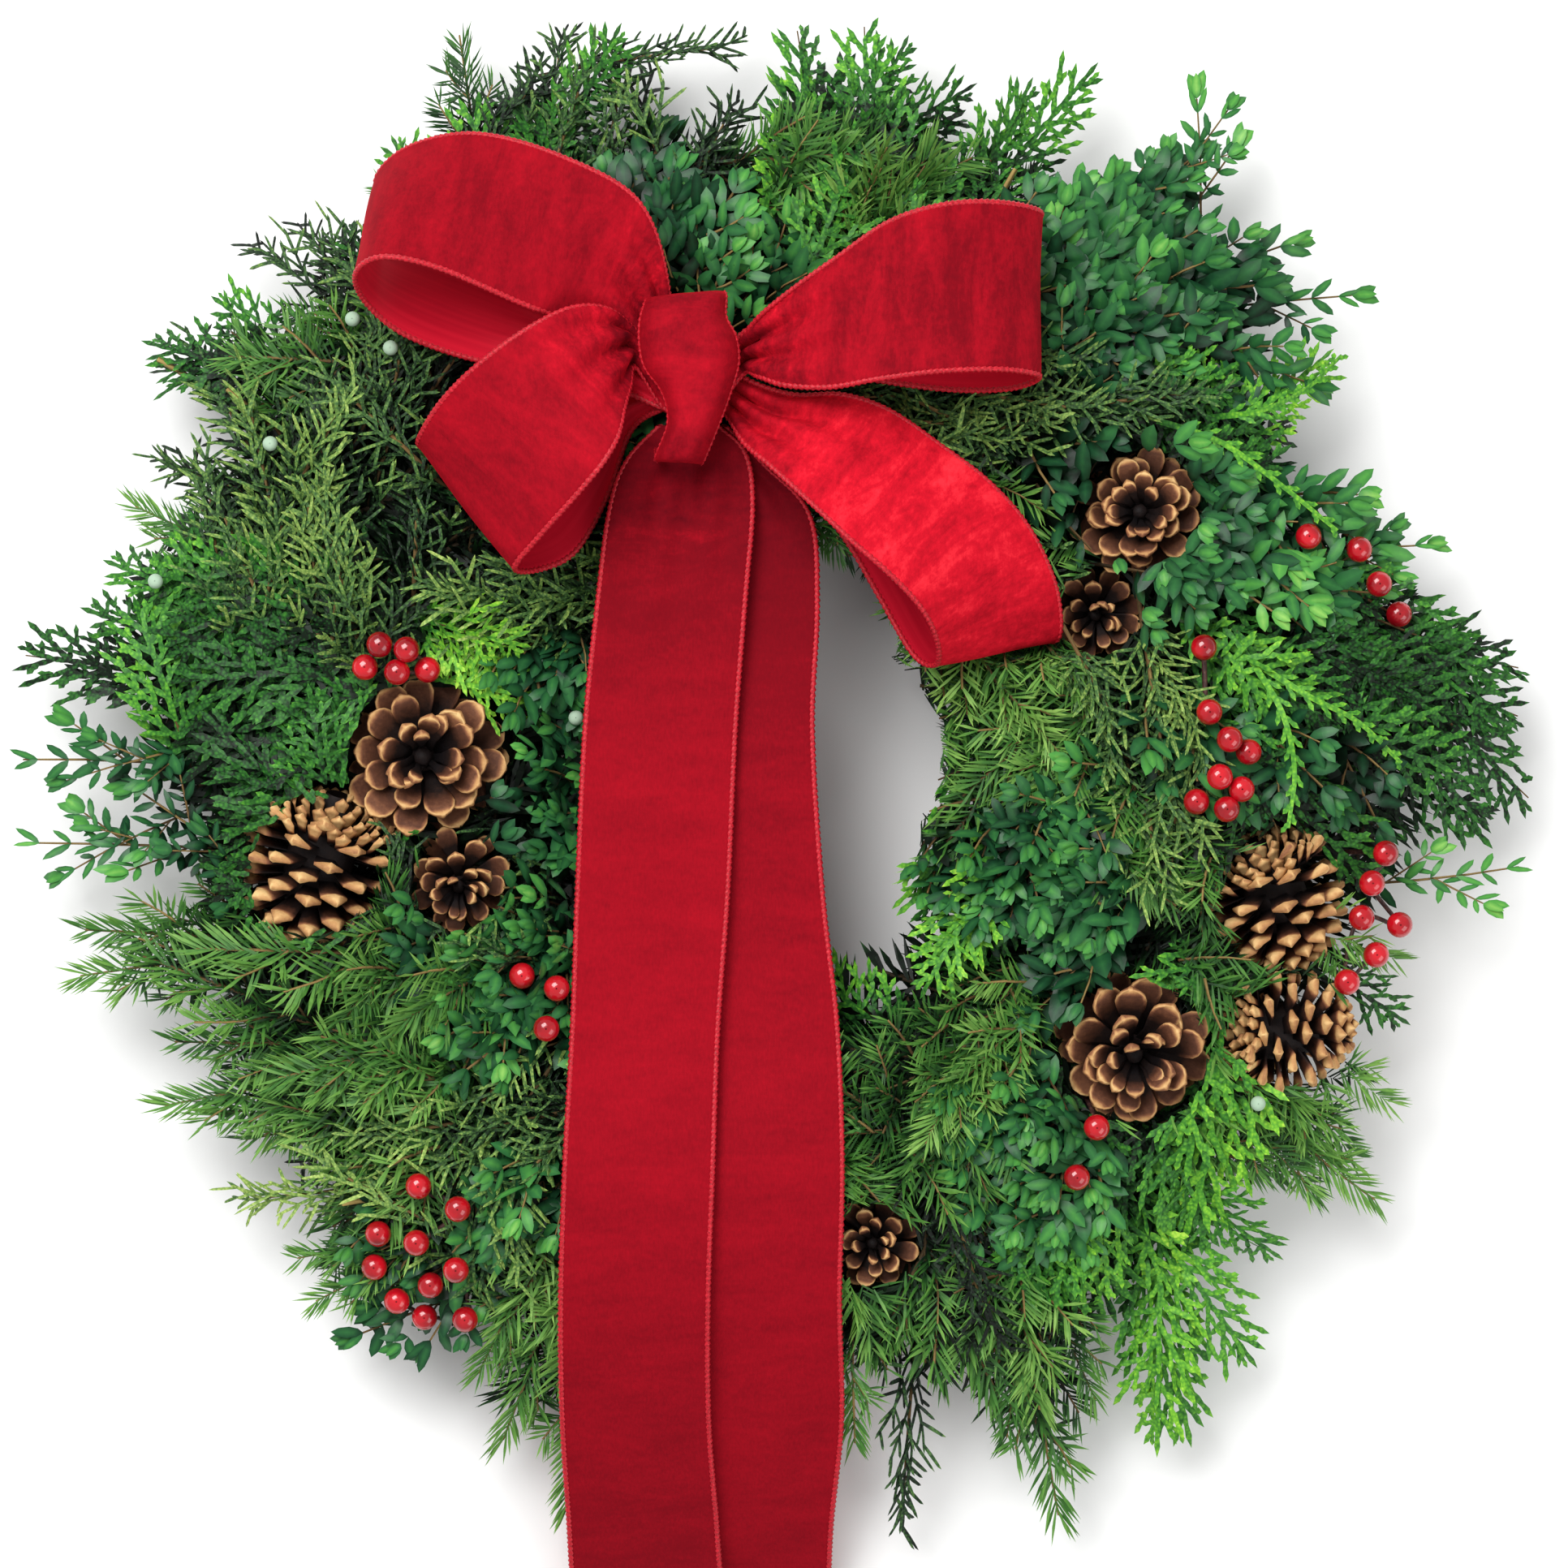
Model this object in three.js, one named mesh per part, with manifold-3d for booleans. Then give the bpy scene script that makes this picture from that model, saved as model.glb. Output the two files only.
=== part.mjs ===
// A fresh evergreen wreath with pine cones, red berries and a velvet bow, lying on its back.
// Millimetres. +Z comes up out of the wreath's front, and +Y is the way up when it hangs.
// Everything is laid out round the centre of the wire ring, and moved to its place at the end.

import * as THREE from "three";
import { mergeVertices } from "three/addons/utils/BufferGeometryUtils.js";
import Module from "manifold-3d";

const wasm = await Module();
wasm.setup();

// The wire ring and its clamps
const RING_RADIUS = 165;
const RING_WIRE = 4.5;
const CLAMPS = 15;
const CLAMP_STEP = 360 / CLAMPS;
const FIRST_CLAMP = 16; // degrees round from +X
const CLAMP_BAR = 3; // thickness of the flat bar that a clamp is bent from
const WELD = 0.4; // how far the hoop sinks into a clamp's foot
const CLAMP_WIDTH = 30; // across the ring, outside
const CLAMP_HEIGHT = 21;

// The greens
const CREST_HEIGHT = 88; // top of the body of greens above the surface it lies on
const CREST_RADIUS = 167;
const BODY_HALF_WIDTH = 112; // from the crest to the body's inner or outer edge
const STUB_RADIUS = 5.7; // a bundle of cut stems in its clamp
const STUB_SIDE = 6.1; // from the ring's centre line to a bundle's
const STUB_HEIGHT = 12.8;
const STUB_CUT_END = 16; // from the clamp back to the cut ends
const STUB_LEAF_END = 15; // from the clamp on to where the sprigs spread
const BARE_STEM = 24; // of a sprig, in the clamp and under the next bunch
const BARE_END = 5; // of a sprig, beyond its last tuft
const TUFT = 2.6; // the length of stem that a tuft of needles takes
const LOWEST_TIP = 6; // of a sprig, above the surface
const CLEARANCE = 0.3; // between pieces that lie against each other

// How far the greens keep from the surfaces of what is already there
const STEM_ROOM = 2.4;
const VELVET_ROOM = 1.8;
const CONE_ROOM = 1.6;
const WIRE_ROOM = 1.4;

// The bow
const RIBBON_THICKNESS = 1.2;
const KNOT_CENTRE = new THREE.Vector3(-32.5, 149, 0);
const FIRST_LAYER = 104.6; // height of the lowest ribbon that runs through the knot
const LAYER_STEP = 1.75;
const TIE_WIRE_SIDE = 13.3; // from the knot's middle to where its wire goes down on either side

// Berries, cones and their wires
const BERRY_RADIUS = 6;
const BERRY_STEM = 0.9;
const FLORIST_WIRE = 0.7;

const UP = new THREE.Vector3(0, 0, 1);

const radians = THREE.MathUtils.degToRad;

function point(x, y, z) {
  return new THREE.Vector3(x, y, z);
}

// A place given by its angle round the ring, its distance from the centre and its height.
function polar(degrees, radius, height) {
  return point(radius * Math.cos(radians(degrees)), radius * Math.sin(radians(degrees)), height);
}

// The way that the maker works round the ring, clockwise as seen from the front.
function clockwise(degrees) {
  return point(Math.sin(radians(degrees)), -Math.cos(radians(degrees)), 0);
}

// Height of the body of greens at a distance from the centre.
function bodyHeight(radius) {
  const across = (radius - CREST_RADIUS) / BODY_HALF_WIDTH;
  const edge = 20;
  return edge + (CREST_HEIGHT - edge) * Math.sqrt(Math.max(0, 1 - across * across));
}

// Seeded draws, so that the wreath is the same each time it is made.
let drawState = 7;
function draw(low, high) {
  drawState = (Math.imul(drawState, 1664525) + 1013904223) >>> 0;
  return low + (high - low) * (drawState / 4294967296);
}

// Solids

function solid(geometry) {
  const bare = geometry.clone();
  bare.deleteAttribute("normal");
  bare.deleteAttribute("uv");
  const merged = mergeVertices(bare, 1e-4);
  return new wasm.Manifold(
    new wasm.Mesh({
      numProp: 3,
      vertProperties: new Float32Array(merged.attributes.position.array),
      triVerts: new Uint32Array(merged.index.array),
    }),
  );
}

function geometryOf(manifold) {
  const mesh = manifold.getMesh();
  const geometry = new THREE.BufferGeometry();
  geometry.setAttribute("position", new THREE.BufferAttribute(new Float32Array(mesh.vertProperties), 3));
  geometry.setIndex(new THREE.BufferAttribute(new Uint32Array(mesh.triVerts), 1));
  geometry.computeVertexNormals();
  return geometry;
}

// Faces between places, given by the places' numbers, three for each face.
function facesBetween(places, numbers) {
  const geometry = new THREE.BufferGeometry();
  const coordinates = places.flatMap((place) => [place.x, place.y, place.z]);
  geometry.setAttribute("position", new THREE.Float32BufferAttribute(coordinates, 3));
  geometry.setIndex(numbers);
  return geometry;
}

function joined(solids) {
  return solids.reduce((whole, next) => whole.add(next));
}

// A ball of twenty three-sided faces, turned so that its first face looks straight down.
function twentySidedBall() {
  const bare = new THREE.IcosahedronGeometry(1, 0);
  bare.deleteAttribute("normal");
  bare.deleteAttribute("uv");
  const merged = mergeVertices(bare, 1e-4);
  const { position } = merged.attributes;
  const numbers = [...Array(position.count).keys()];
  const corners = numbers.map((i) => point(0, 0, 0).fromBufferAttribute(position, i));
  const faces = [];
  for (let i = 0; i < merged.index.count; i += 3) {
    faces.push([0, 1, 2].map((k) => merged.index.getX(i + k)));
  }
  const down = point(0, 0, 0);
  faces[0].forEach((i) => down.add(corners[i]));
  const turn = new THREE.Quaternion().setFromUnitVectors(down.normalize(), UP.clone().negate());
  corners.forEach((corner) => corner.applyQuaternion(turn));
  return { corners, faces };
}

const BALL = twentySidedBall();

// A mesh that grows: any of its three-sided faces can be drawn out into a needle, a leaf or a twig.
class Growth {
  constructor() {
    this.points = [];
    this.faces = [];
  }

  addPoints(places) {
    const first = this.points.length;
    this.points.push(...places);
    return places.map((_, i) => first + i);
  }

  addFace(corners) {
    this.faces.push(corners);
    return this.faces.length - 1;
  }

  // Starts a stem: the face that looks back down the stem, and the open one that grows on.
  start(places) {
    const [a, b, c] = this.addPoints(places);
    this.addFace([c, b, a]);
    return this.addFace([a, b, c]);
  }

  // Draws a face out to three new points. Gives its sides, two faces each, and the new end face.
  extend(face, places) {
    const old = this.faces[face];
    const made = this.addPoints(places);
    const sides = [];
    for (let i = 0; i < 3; i += 1) {
      const j = (i + 1) % 3;
      const behind = this.addFace([old[i], old[j], made[j]]);
      const ahead = this.addFace([old[i], made[j], made[i]]);
      sides.push([behind, ahead]);
    }
    this.faces[face] = made;
    return { sides, end: face };
  }

  // Draws a face out to one point.
  sharpen(face, tip) {
    const [a, b, c] = this.faces[face];
    const [end] = this.addPoints([tip]);
    this.faces[face] = [a, b, end];
    this.addFace([b, c, end]);
    this.addFace([c, a, end]);
  }

  // Draws a face out into a ball of twenty faces. It is turned so that its open corners lie before
  // the face's own.
  swell(face, centre, out, radius, twist) {
    const [a, b, c] = BALL.faces[0];
    const lowest = [a, c, b];
    const turn = new THREE.Quaternion().setFromUnitVectors(UP, out);
    const spoke = BALL.corners[a].clone().applyQuaternion(turn).projectOnPlane(out);
    const goal = this.corners(face)[0].sub(this.middle(face)).projectOnPlane(out);
    const about = Math.atan2(spoke.clone().cross(goal).dot(out), spoke.dot(goal)) + radians(twist);
    turn.premultiply(new THREE.Quaternion().setFromAxisAngle(out, about));
    const onBall = (corner) => corner.clone().multiplyScalar(radius).applyQuaternion(turn).add(centre);
    const corners = BALL.corners.map(onBall);
    this.extend(face, lowest.map((i) => corners[i]));
    const ids = new Map(lowest.map((i, k) => [i, this.faces[face][k]]));
    const rest = corners.map((_, i) => i).filter((i) => !ids.has(i));
    this.addPoints(rest.map((i) => corners[i])).forEach((id, k) => ids.set(rest[k], id));
    const made = BALL.faces.slice(1).map((numbers) => numbers.map((i) => ids.get(i)));
    this.faces[face] = made[0];
    made.slice(1).forEach((numbers) => this.addFace(numbers));
  }

  // Three of the given places, in the turn of their order that twists least from a face's corners.
  alongside(face, order, places) {
    const middle = this.middle(face);
    const goal = new THREE.Vector3();
    order.forEach((i) => goal.addScaledVector(places[i], 1 / 3));
    const twist = (shift) =>
      this.corners(face).reduce((sum, corner, k) => {
        const to = places[order[(k + shift) % 3]].clone().sub(goal).normalize();
        return sum + to.distanceToSquared(corner.clone().sub(middle).normalize());
      }, 0);
    const best = [0, 1, 2].reduce((i, j) => (twist(j) < twist(i) ? j : i));
    return order.map((_, k) => order[(k + best) % 3]);
  }

  corners(face) {
    return this.faces[face].map((i) => this.points[i].clone());
  }

  // What is needed to take back a needle or leaf that is drawn out of a face.
  mark(face) {
    return { face, was: this.faces[face], points: this.points.length, faces: this.faces.length };
  }

  takeBack(mark) {
    this.faces[mark.face] = mark.was;
    this.points.length = mark.points;
    this.faces.length = mark.faces;
  }

  // Whether anything grown since a mark passes through another face.
  crossesSince(mark) {
    const grown = [mark.face];
    for (let i = mark.faces; i < this.faces.length; i += 1) {
      grown.push(i);
    }
    return grown.some((i) => this.faces.some((_, j) => j !== i && this.facesCross(i, j)));
  }

  crossesItself() {
    return this.faces.some((_, i) => this.faces.some((_, j) => j > i && this.facesCross(i, j)));
  }

  facesCross(i, j) {
    const [first, second] = [this.faces[i], this.faces[j]];
    const shared = first.filter((corner) => second.includes(corner));
    if (shared.length > 1) {
      return false;
    }
    const [a, b] = [first, second].map((face) => face.map((corner) => this.points[corner]));
    if (!new THREE.Box3().setFromPoints(a).intersectsBox(new THREE.Box3().setFromPoints(b))) {
      return false;
    }
    return this.edgesMeet(first, shared, b) || this.edgesMeet(second, shared, a);
  }

  edgesMeet(face, shared, triangle) {
    return [0, 1, 2].some((k) => {
      const [from, to] = [face[k], face[(k + 1) % 3]];
      if (shared.includes(from) || shared.includes(to)) {
        return false;
      }
      const [start, end] = [this.points[from], this.points[to]];
      const ray = new THREE.Ray(start, end.clone().sub(start).normalize());
      const met = ray.intersectTriangle(...triangle, false, new THREE.Vector3());
      return met !== null && met.distanceTo(start) < end.distanceTo(start);
    });
  }

  middle(face) {
    const [a, b, c] = this.corners(face);
    return a.clone().add(b).add(c).divideScalar(3);
  }

  solid() {
    return solid(facesBetween(this.points, this.faces.flat()));
  }
}

// Corners of a three-sided stem at a place, its ridge up.
function stemCorners(centre, frame, radius) {
  return [90, 210, 330].map((degrees) => {
    const corner = centre.clone().addScaledVector(frame.side, radius * Math.cos(radians(degrees)));
    return corner.addScaledVector(frame.over, radius * Math.sin(radians(degrees)));
  });
}

function frameAlong(along, upHint) {
  const side = upHint.clone().cross(along).normalize();
  const over = along.clone().cross(side).normalize();
  return { along, side, over };
}

// A wire, three-sided, straight from each point to the next. Its ridge keeps as near as it can to the way
// it faced before.
function thinStem(points, radius, upHint) {
  const growth = new Growth();
  let up = upHint.clone();
  const frameOf = (i) => {
    const ahead = points[Math.min(i + 1, points.length - 1)].clone();
    const frame = frameAlong(ahead.sub(points[Math.max(i - 1, 0)]).normalize(), up);
    up = frame.over;
    return frame;
  };
  let end = growth.start(stemCorners(points[0], frameOf(0), radius));
  for (let i = 1; i < points.length; i += 1) {
    end = growth.extend(end, stemCorners(points[i], frameOf(i), radius)).end;
  }
  return growth.solid();
}

// What is already in place, as points with a size, so that greens are bent clear of it.
class Taken {
  constructor(cell = 6) {
    this.cell = cell;
    this.cells = new Map();
  }

  key(x, y, z) {
    return `${Math.floor(x / this.cell)},${Math.floor(y / this.cell)},${Math.floor(z / this.cell)}`;
  }

  add(place, radius) {
    const key = this.key(place.x, place.y, place.z);
    if (!this.cells.has(key)) {
      this.cells.set(key, []);
    }
    this.cells.get(key).push({ place, radius });
  }

  addAll(other) {
    for (const spots of other.cells.values()) {
      spots.forEach((spot) => this.add(spot.place, spot.radius));
    }
  }

  isClear(place, radius) {
    for (let x = -1; x <= 1; x += 1) {
      for (let y = -1; y <= 1; y += 1) {
        for (let z = -1; z <= 1; z += 1) {
          const [east, north, above] = [x * this.cell, y * this.cell, z * this.cell];
          const near = this.cells.get(this.key(place.x + east, place.y + north, place.z + above)) ?? [];
          if (near.some((other) => other.place.distanceTo(place) < other.radius + radius)) {
            return false;
          }
        }
      }
    }
    return true;
  }

  // The whole surface of a solid, as points a few millimetres apart.
  addSurface(manifold, radius) {
    const spacing = 2.5;
    const mesh = manifold.getMesh();
    const corner = (i) => {
      const at = 3 * mesh.triVerts[i];
      return point(mesh.vertProperties[at], mesh.vertProperties[at + 1], mesh.vertProperties[at + 2]);
    };
    for (let t = 0; t < mesh.triVerts.length; t += 3) {
      const [a, b, c] = [corner(t), corner(t + 1), corner(t + 2)];
      const longest = Math.max(a.distanceTo(b), b.distanceTo(c), c.distanceTo(a));
      const steps = Math.ceil(longest / spacing);
      for (let i = 0; i <= steps; i += 1) {
        for (let j = 0; j <= steps - i; j += 1) {
          const place = a.clone().multiplyScalar(1 - (i + j) / steps);
          place.addScaledVector(b, i / steps).addScaledVector(c, j / steps);
          this.add(place, radius);
        }
      }
    }
  }
}

const taken = new Taken();
const inPlace = [];
const wreath = new THREE.Group();

const FINISH = {
  galvanised: { color: 0x6f7a70, roughness: 0.45, metalness: 0.9 },
  fir: { color: 0x3f7a2c, roughness: 0.55, metalness: 0 },
  brightCedar: { color: 0x6fbf2e, roughness: 0.6, metalness: 0 },
  darkCedar: { color: 0x1d5a2a, roughness: 0.6, metalness: 0 },
  juniper: { color: 0x7f9440, roughness: 0.65, metalness: 0 },
  boxwood: { color: 0x1d5b35, roughness: 0.35, metalness: 0 },
  cone: { color: 0x7a4a35, roughness: 0.8, metalness: 0 },
  berry: { color: 0xd01224, roughness: 0.2, metalness: 0 },
  velvet: { color: 0xb50f20, roughness: 0.9, metalness: 0 },
};

function place(name, manifold, finish, keepClear = WIRE_ROOM) {
  const mesh = new THREE.Mesh(geometryOf(manifold), new THREE.MeshStandardMaterial(FINISH[finish]));
  mesh.name = name;
  wreath.add(mesh);
  inPlace.push({ solid: manifold, box: bounds(manifold) });
  if (keepClear > 0) {
    taken.addSurface(manifold, keepClear);
  }
}

// The ring: a heavy wire hoop with a clamp of flat bar welded under it at each bunch,
// bent up and closed over the cut stems.
function ringFrame() {
  const hoop = new THREE.TorusGeometry(RING_RADIUS, RING_WIRE / 2, 6, 2 * CLAMPS);
  hoop.rotateZ(radians(FIRST_CLAMP));
  hoop.translate(0, 0, CLAMP_BAR - WELD + RING_WIRE / 2);
  const outer = CLAMP_WIDTH / 2;
  const inner = outer - 0.9 * CLAMP_BAR;
  const roof = CLAMP_HEIGHT - 0.9 * CLAMP_BAR;
  const tip = 2; // half the gap between the closed ends
  const half = [
    [outer, 0], [outer, CLAMP_HEIGHT], [tip, CLAMP_HEIGHT],
    [tip, roof], [inner, roof], [inner, CLAMP_BAR],
  ];
  const outline = half.map(([x, y]) => new THREE.Vector2(x, y));
  outline.push(...half.toReversed().map(([x, y]) => new THREE.Vector2(-x, y)));
  const section = new THREE.Shape(outline);
  const solids = [solid(hoop)];
  for (let i = 0; i < CLAMPS; i += 1) {
    const clamp = new THREE.ExtrudeGeometry(section, { depth: CLAMP_BAR, bevelEnabled: false });
    clamp.translate(0, 0, -CLAMP_BAR / 2);
    clamp.rotateX(Math.PI / 2);
    clamp.translate(RING_RADIUS, 0, 0);
    clamp.rotateZ(radians(FIRST_CLAMP + i * CLAMP_STEP));
    solids.push(solid(clamp));
  }
  return joined(solids);
}

place("ring_frame", ringFrame(), "galvanised");

// A ribbon between two rims. Each station has the upper rim's x, y, z and then the lower rim's.
function ribbon(stations) {
  const between = 2; // steps from one station to the next
  const upper = new THREE.CatmullRomCurve3(stations.map((station) => point(...station.slice(0, 3))));
  const lower = new THREE.CatmullRomCurve3(stations.map((station) => point(...station.slice(3))));
  const rows = (stations.length - 1) * between;
  const rims = [];
  for (let i = 0; i <= rows; i += 1) {
    rims.push([upper.getPoint(i / rows), lower.getPoint(i / rows)]);
  }
  const places = [];
  rims.forEach(([a, b], i) => {
    const [before, after] = [rims[Math.max(0, i - 1)], rims[Math.min(rows, i + 1)]];
    const across = b.clone().sub(a).normalize();
    [a, b].forEach((rim, k) => {
      const along = after[k].clone().sub(before[k]);
      const out = along.cross(across).normalize().multiplyScalar(RIBBON_THICKNESS / 2);
      places.push(rim.clone().add(out), rim.clone().sub(out));
    });
  });
  const index = [];
  const quad = (a, b, c, d) => index.push(a, b, c, a, c, d);
  for (let i = 0; i < rows; i += 1) {
    const [a, b] = [4 * i, 4 * i + 4];
    quad(a, a + 2, b + 2, b);
    quad(a + 1, b + 1, b + 3, a + 3);
    quad(a, b, b + 1, a + 1);
    quad(a + 2, a + 3, b + 3, b + 2);
  }
  const last = 4 * rows;
  quad(0, 1, 3, 2);
  quad(last, last + 2, last + 3, last + 1);
  const geometry = facesBetween(places, index);
  const made = solid(geometry);
  if (made.volume() > 0) {
    return made;
  }
  geometry.setIndex(index.toReversed());
  return solid(geometry);
}

// The two stations where a gathered ribbon runs through the knot, from its middle to its side.
function gathered(side, layer) {
  const reach = 10.5;
  const half = 11; // of its width where it is gathered
  const z = FIRST_LAYER + layer * LAYER_STEP;
  const { x, y } = KNOT_CENTRE;
  const first = 1.5; // from the knot's middle, so that the two ribbons of a layer stay apart
  return [first, reach].map((away) => [x + side * away, y + half, z, x + side * away, y - half, z]);
}

function loop(side, frontLayer, backLayer, stations) {
  return ribbon([...gathered(side, frontLayer), ...stations, ...gathered(side, backLayer).toReversed()]);
}

const LEFT = -1;
const RIGHT = 1;

place("bow_loop_upper_left", loop(LEFT, 2, 1, [
  [-41, 187, 109.6, -57, 160, 109.8],
  [-52, 220, 117, -78, 171, 119],
  [-82, 238, 118, -98, 178, 133],
  [-117, 248, 112, -132, 192, 142],
  [-145, 244, 98, -154, 196, 143],
  [-159, 232, 86, -165, 190, 130],
  [-151, 223, 76, -161, 179, 111],
  [-125, 220, 73, -145, 167, 101],
  [-92, 206, 82, -114, 157, 97],
  [-62, 183, 98, -78, 153, 101],
]), "velvet", VELVET_ROOM);
place("bow_loop_lower_left", loop(LEFT, 3, 0, [
  [-57, 172, 114, -54, 154, 114],
  [-67, 178, 123, -56, 146, 121],
  [-81, 177, 130, -58, 137, 131],
  [-98, 168, 134, -60, 126, 138],
  [-116, 155, 132, -66, 115, 142],
  [-130, 142, 124, -77, 102, 138],
  [-139, 130, 112, -92, 86, 127],
  [-141, 124, 100, -102, 74, 114],
  [-131, 125, 86, -92, 74, 99],
  [-115, 134, 80, -78, 82, 90],
  [-95, 146, 79, -65, 105, 87],
  [-71, 156, 88, -56, 130, 91],
]), "velvet", VELVET_ROOM);
place("bow_loop_upper_right", loop(RIGHT, 3, 2, [
  [-12, 167, 112, -11, 152, 112],
  [-3, 176, 122, -5, 150, 122],
  [10, 186, 130, 6, 146, 130],
  [26, 197, 136, 24, 145, 137],
  [47, 211, 140, 43, 148, 142],
  [70, 218, 139, 67, 151, 142],
  [93, 219, 132, 92, 152, 136],
  [108, 216, 116, 107, 150, 122],
  [96, 210, 98, 96, 146, 107],
  [70, 206, 90, 72, 146, 99],
  [39, 194, 92, 41, 150, 98],
  [11, 180, 101, 9, 155, 102],
  [-8, 171, 108, -8, 154, 108.4],
]), "velvet", VELVET_ROOM);
place("bow_loop_lower_right", loop(RIGHT, 1, 0, [
  [-9, 150, 106.6, -17, 134, 107.6],
  [9, 144, 111, -11, 124, 116],
  [28, 144, 113, 0, 114, 126],
  [47, 138, 110, 16, 99, 135],
  [68, 124, 106, 32, 84, 138],
  [88, 109, 102, 48, 70, 136],
  [104, 91, 96, 60, 57, 129],
  [115, 68, 88, 66, 45, 117],
  [117, 48, 78, 66, 36, 103],
  [109, 50, 71, 57, 40, 93],
  [92, 80, 67, 43, 64, 89],
  [68, 106, 70, 30, 86, 90],
  [34, 131, 83, 12, 109, 94],
  [-5, 147, 101, -15, 136, 102],
]), "velvet", VELVET_ROOM);

// The front tail lies over the rear one. Both lie on the crest below the hole and run down to the surface.
place("bow_tail_front", ribbon([
  [-45, 132, 99.6, -21, 132, 99.6],
  [-58, 118, 99, -10, 121, 99],
  [-65, 98, 98, -7, 100, 98],
  [-70, 60, 96, -10, 62, 96],
  [-75, 10, 95, -14, 10, 95],
  [-78, -55, 95, -17, -55, 95],
  [-80, -110, 96, -21, -110, 96],
  [-83, -165, 98, -23, -165, 98],
  [-85, -220, 88, -25, -220, 88],
  [-85, -270, 66, -25, -270, 66],
  [-83, -315, 40, -22, -315, 40],
  [-82, -352, 16, -20, -352, 16],
  [-82, -384, 4, -20, -372, 4],
]), "velvet", VELVET_ROOM);
place("bow_tail_rear", ribbon([
  [-42, 132, 97.8, -18, 132, 97.8],
  [-44, 118, 94, -2, 116, 94],
  [-45, 98, 90, 16, 96, 90],
  [-44, 60, 89, 19, 60, 89],
  [-45, 10, 89, 17, 10, 89],
  [-41, -55, 89, 21, -55, 89],
  [-35, -110, 90, 27, -110, 90],
  [-33, -165, 92, 29, -165, 92],
  [-33, -220, 82, 28, -220, 82],
  [-33, -270, 60, 29, -270, 60],
  [-37, -315, 34, 25, -315, 34],
  [-38, -345, 13, 24, -345, 13],
  [-38, -358, 4, 24, -372, 4],
]), "velvet", VELVET_ROOM);

// The knot: a gathered band round the middle of the bow, full in front and narrow behind.
function knot() {
  const { x, y } = KNOT_CENTRE;
  const front = new THREE.Shape();
  front.moveTo(-49, 179);
  front.lineTo(-34, 182);
  front.lineTo(-20, 181);
  front.lineTo(-19, 169);
  front.lineTo(-14, 161);
  front.lineTo(-17, 142);
  front.lineTo(-26, 119);
  front.lineTo(-36, 116);
  front.lineTo(-46, 118);
  front.lineTo(-41, 131);
  front.lineTo(-42, 142);
  front.lineTo(-51, 154);
  front.closePath();
  const padFoot = 113;
  const bevel = 3;
  const pad = new THREE.ExtrudeGeometry(front, {
    depth: 10, bevelEnabled: true, bevelThickness: bevel, bevelSize: 2, bevelSegments: 1,
  });
  pad.translate(0, 0, padFoot + bevel);
  const [wide, deep, bandFoot, bandHeight] = [18, 36, 100.6, 16];
  const band = new THREE.BoxGeometry(wide, deep, bandHeight);
  band.translate(x, y, bandFoot + bandHeight / 2);
  const [roomFoot, roomHeight] = [103.5, 9.3]; // where the layers of ribbon run through
  const room = new THREE.BoxGeometry(wide + 2, deep - 6, roomHeight);
  room.translate(x, y, roomFoot + roomHeight / 2);
  const hole = new THREE.BoxGeometry(3, 3, 8);
  const holes = [1, -1].map((hand) => solid(hole.clone().translate(x, y + hand * TIE_WIRE_SIDE, 101.5)));
  return solid(pad).add(solid(band)).subtract(solid(room)).subtract(holes[0]).subtract(holes[1]);
}

place("bow_knot", knot(), "velvet", VELVET_ROOM);

// The tie wire: over the gathered ribbon inside the knot, and down behind to both sides of the ring wire.
function tieWire() {
  const { x, y } = KNOT_CENTRE;
  const side = TIE_WIRE_SIDE;
  const beside = RING_WIRE / 2 + FLORIST_WIRE + CLEARANCE;
  const foot = (radius) => Math.sqrt(radius * radius - x * x);
  const outside = foot(RING_RADIUS + beside);
  const inside = foot(RING_RADIUS - beside);
  const path = [
    point(x, outside, 4), point(x, outside, 14), point(x, y + side, 92), point(x, y + side, 102),
    point(x, y + side, 108), point(x, y + 8, 111.4), point(x, y, 111.7), point(x, y - 8, 111.4),
    point(x, y - side, 108), point(x, y - side, 102), point(x, y - side + 2, 92),
    point(x, inside - 4, 24), point(x, inside, 12), point(x, inside, 4),
  ];
  return thinStem(path, FLORIST_WIRE, point(1, 0, 0));
}

place("bow_tie_wire", tieWire(), "galvanised");

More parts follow.
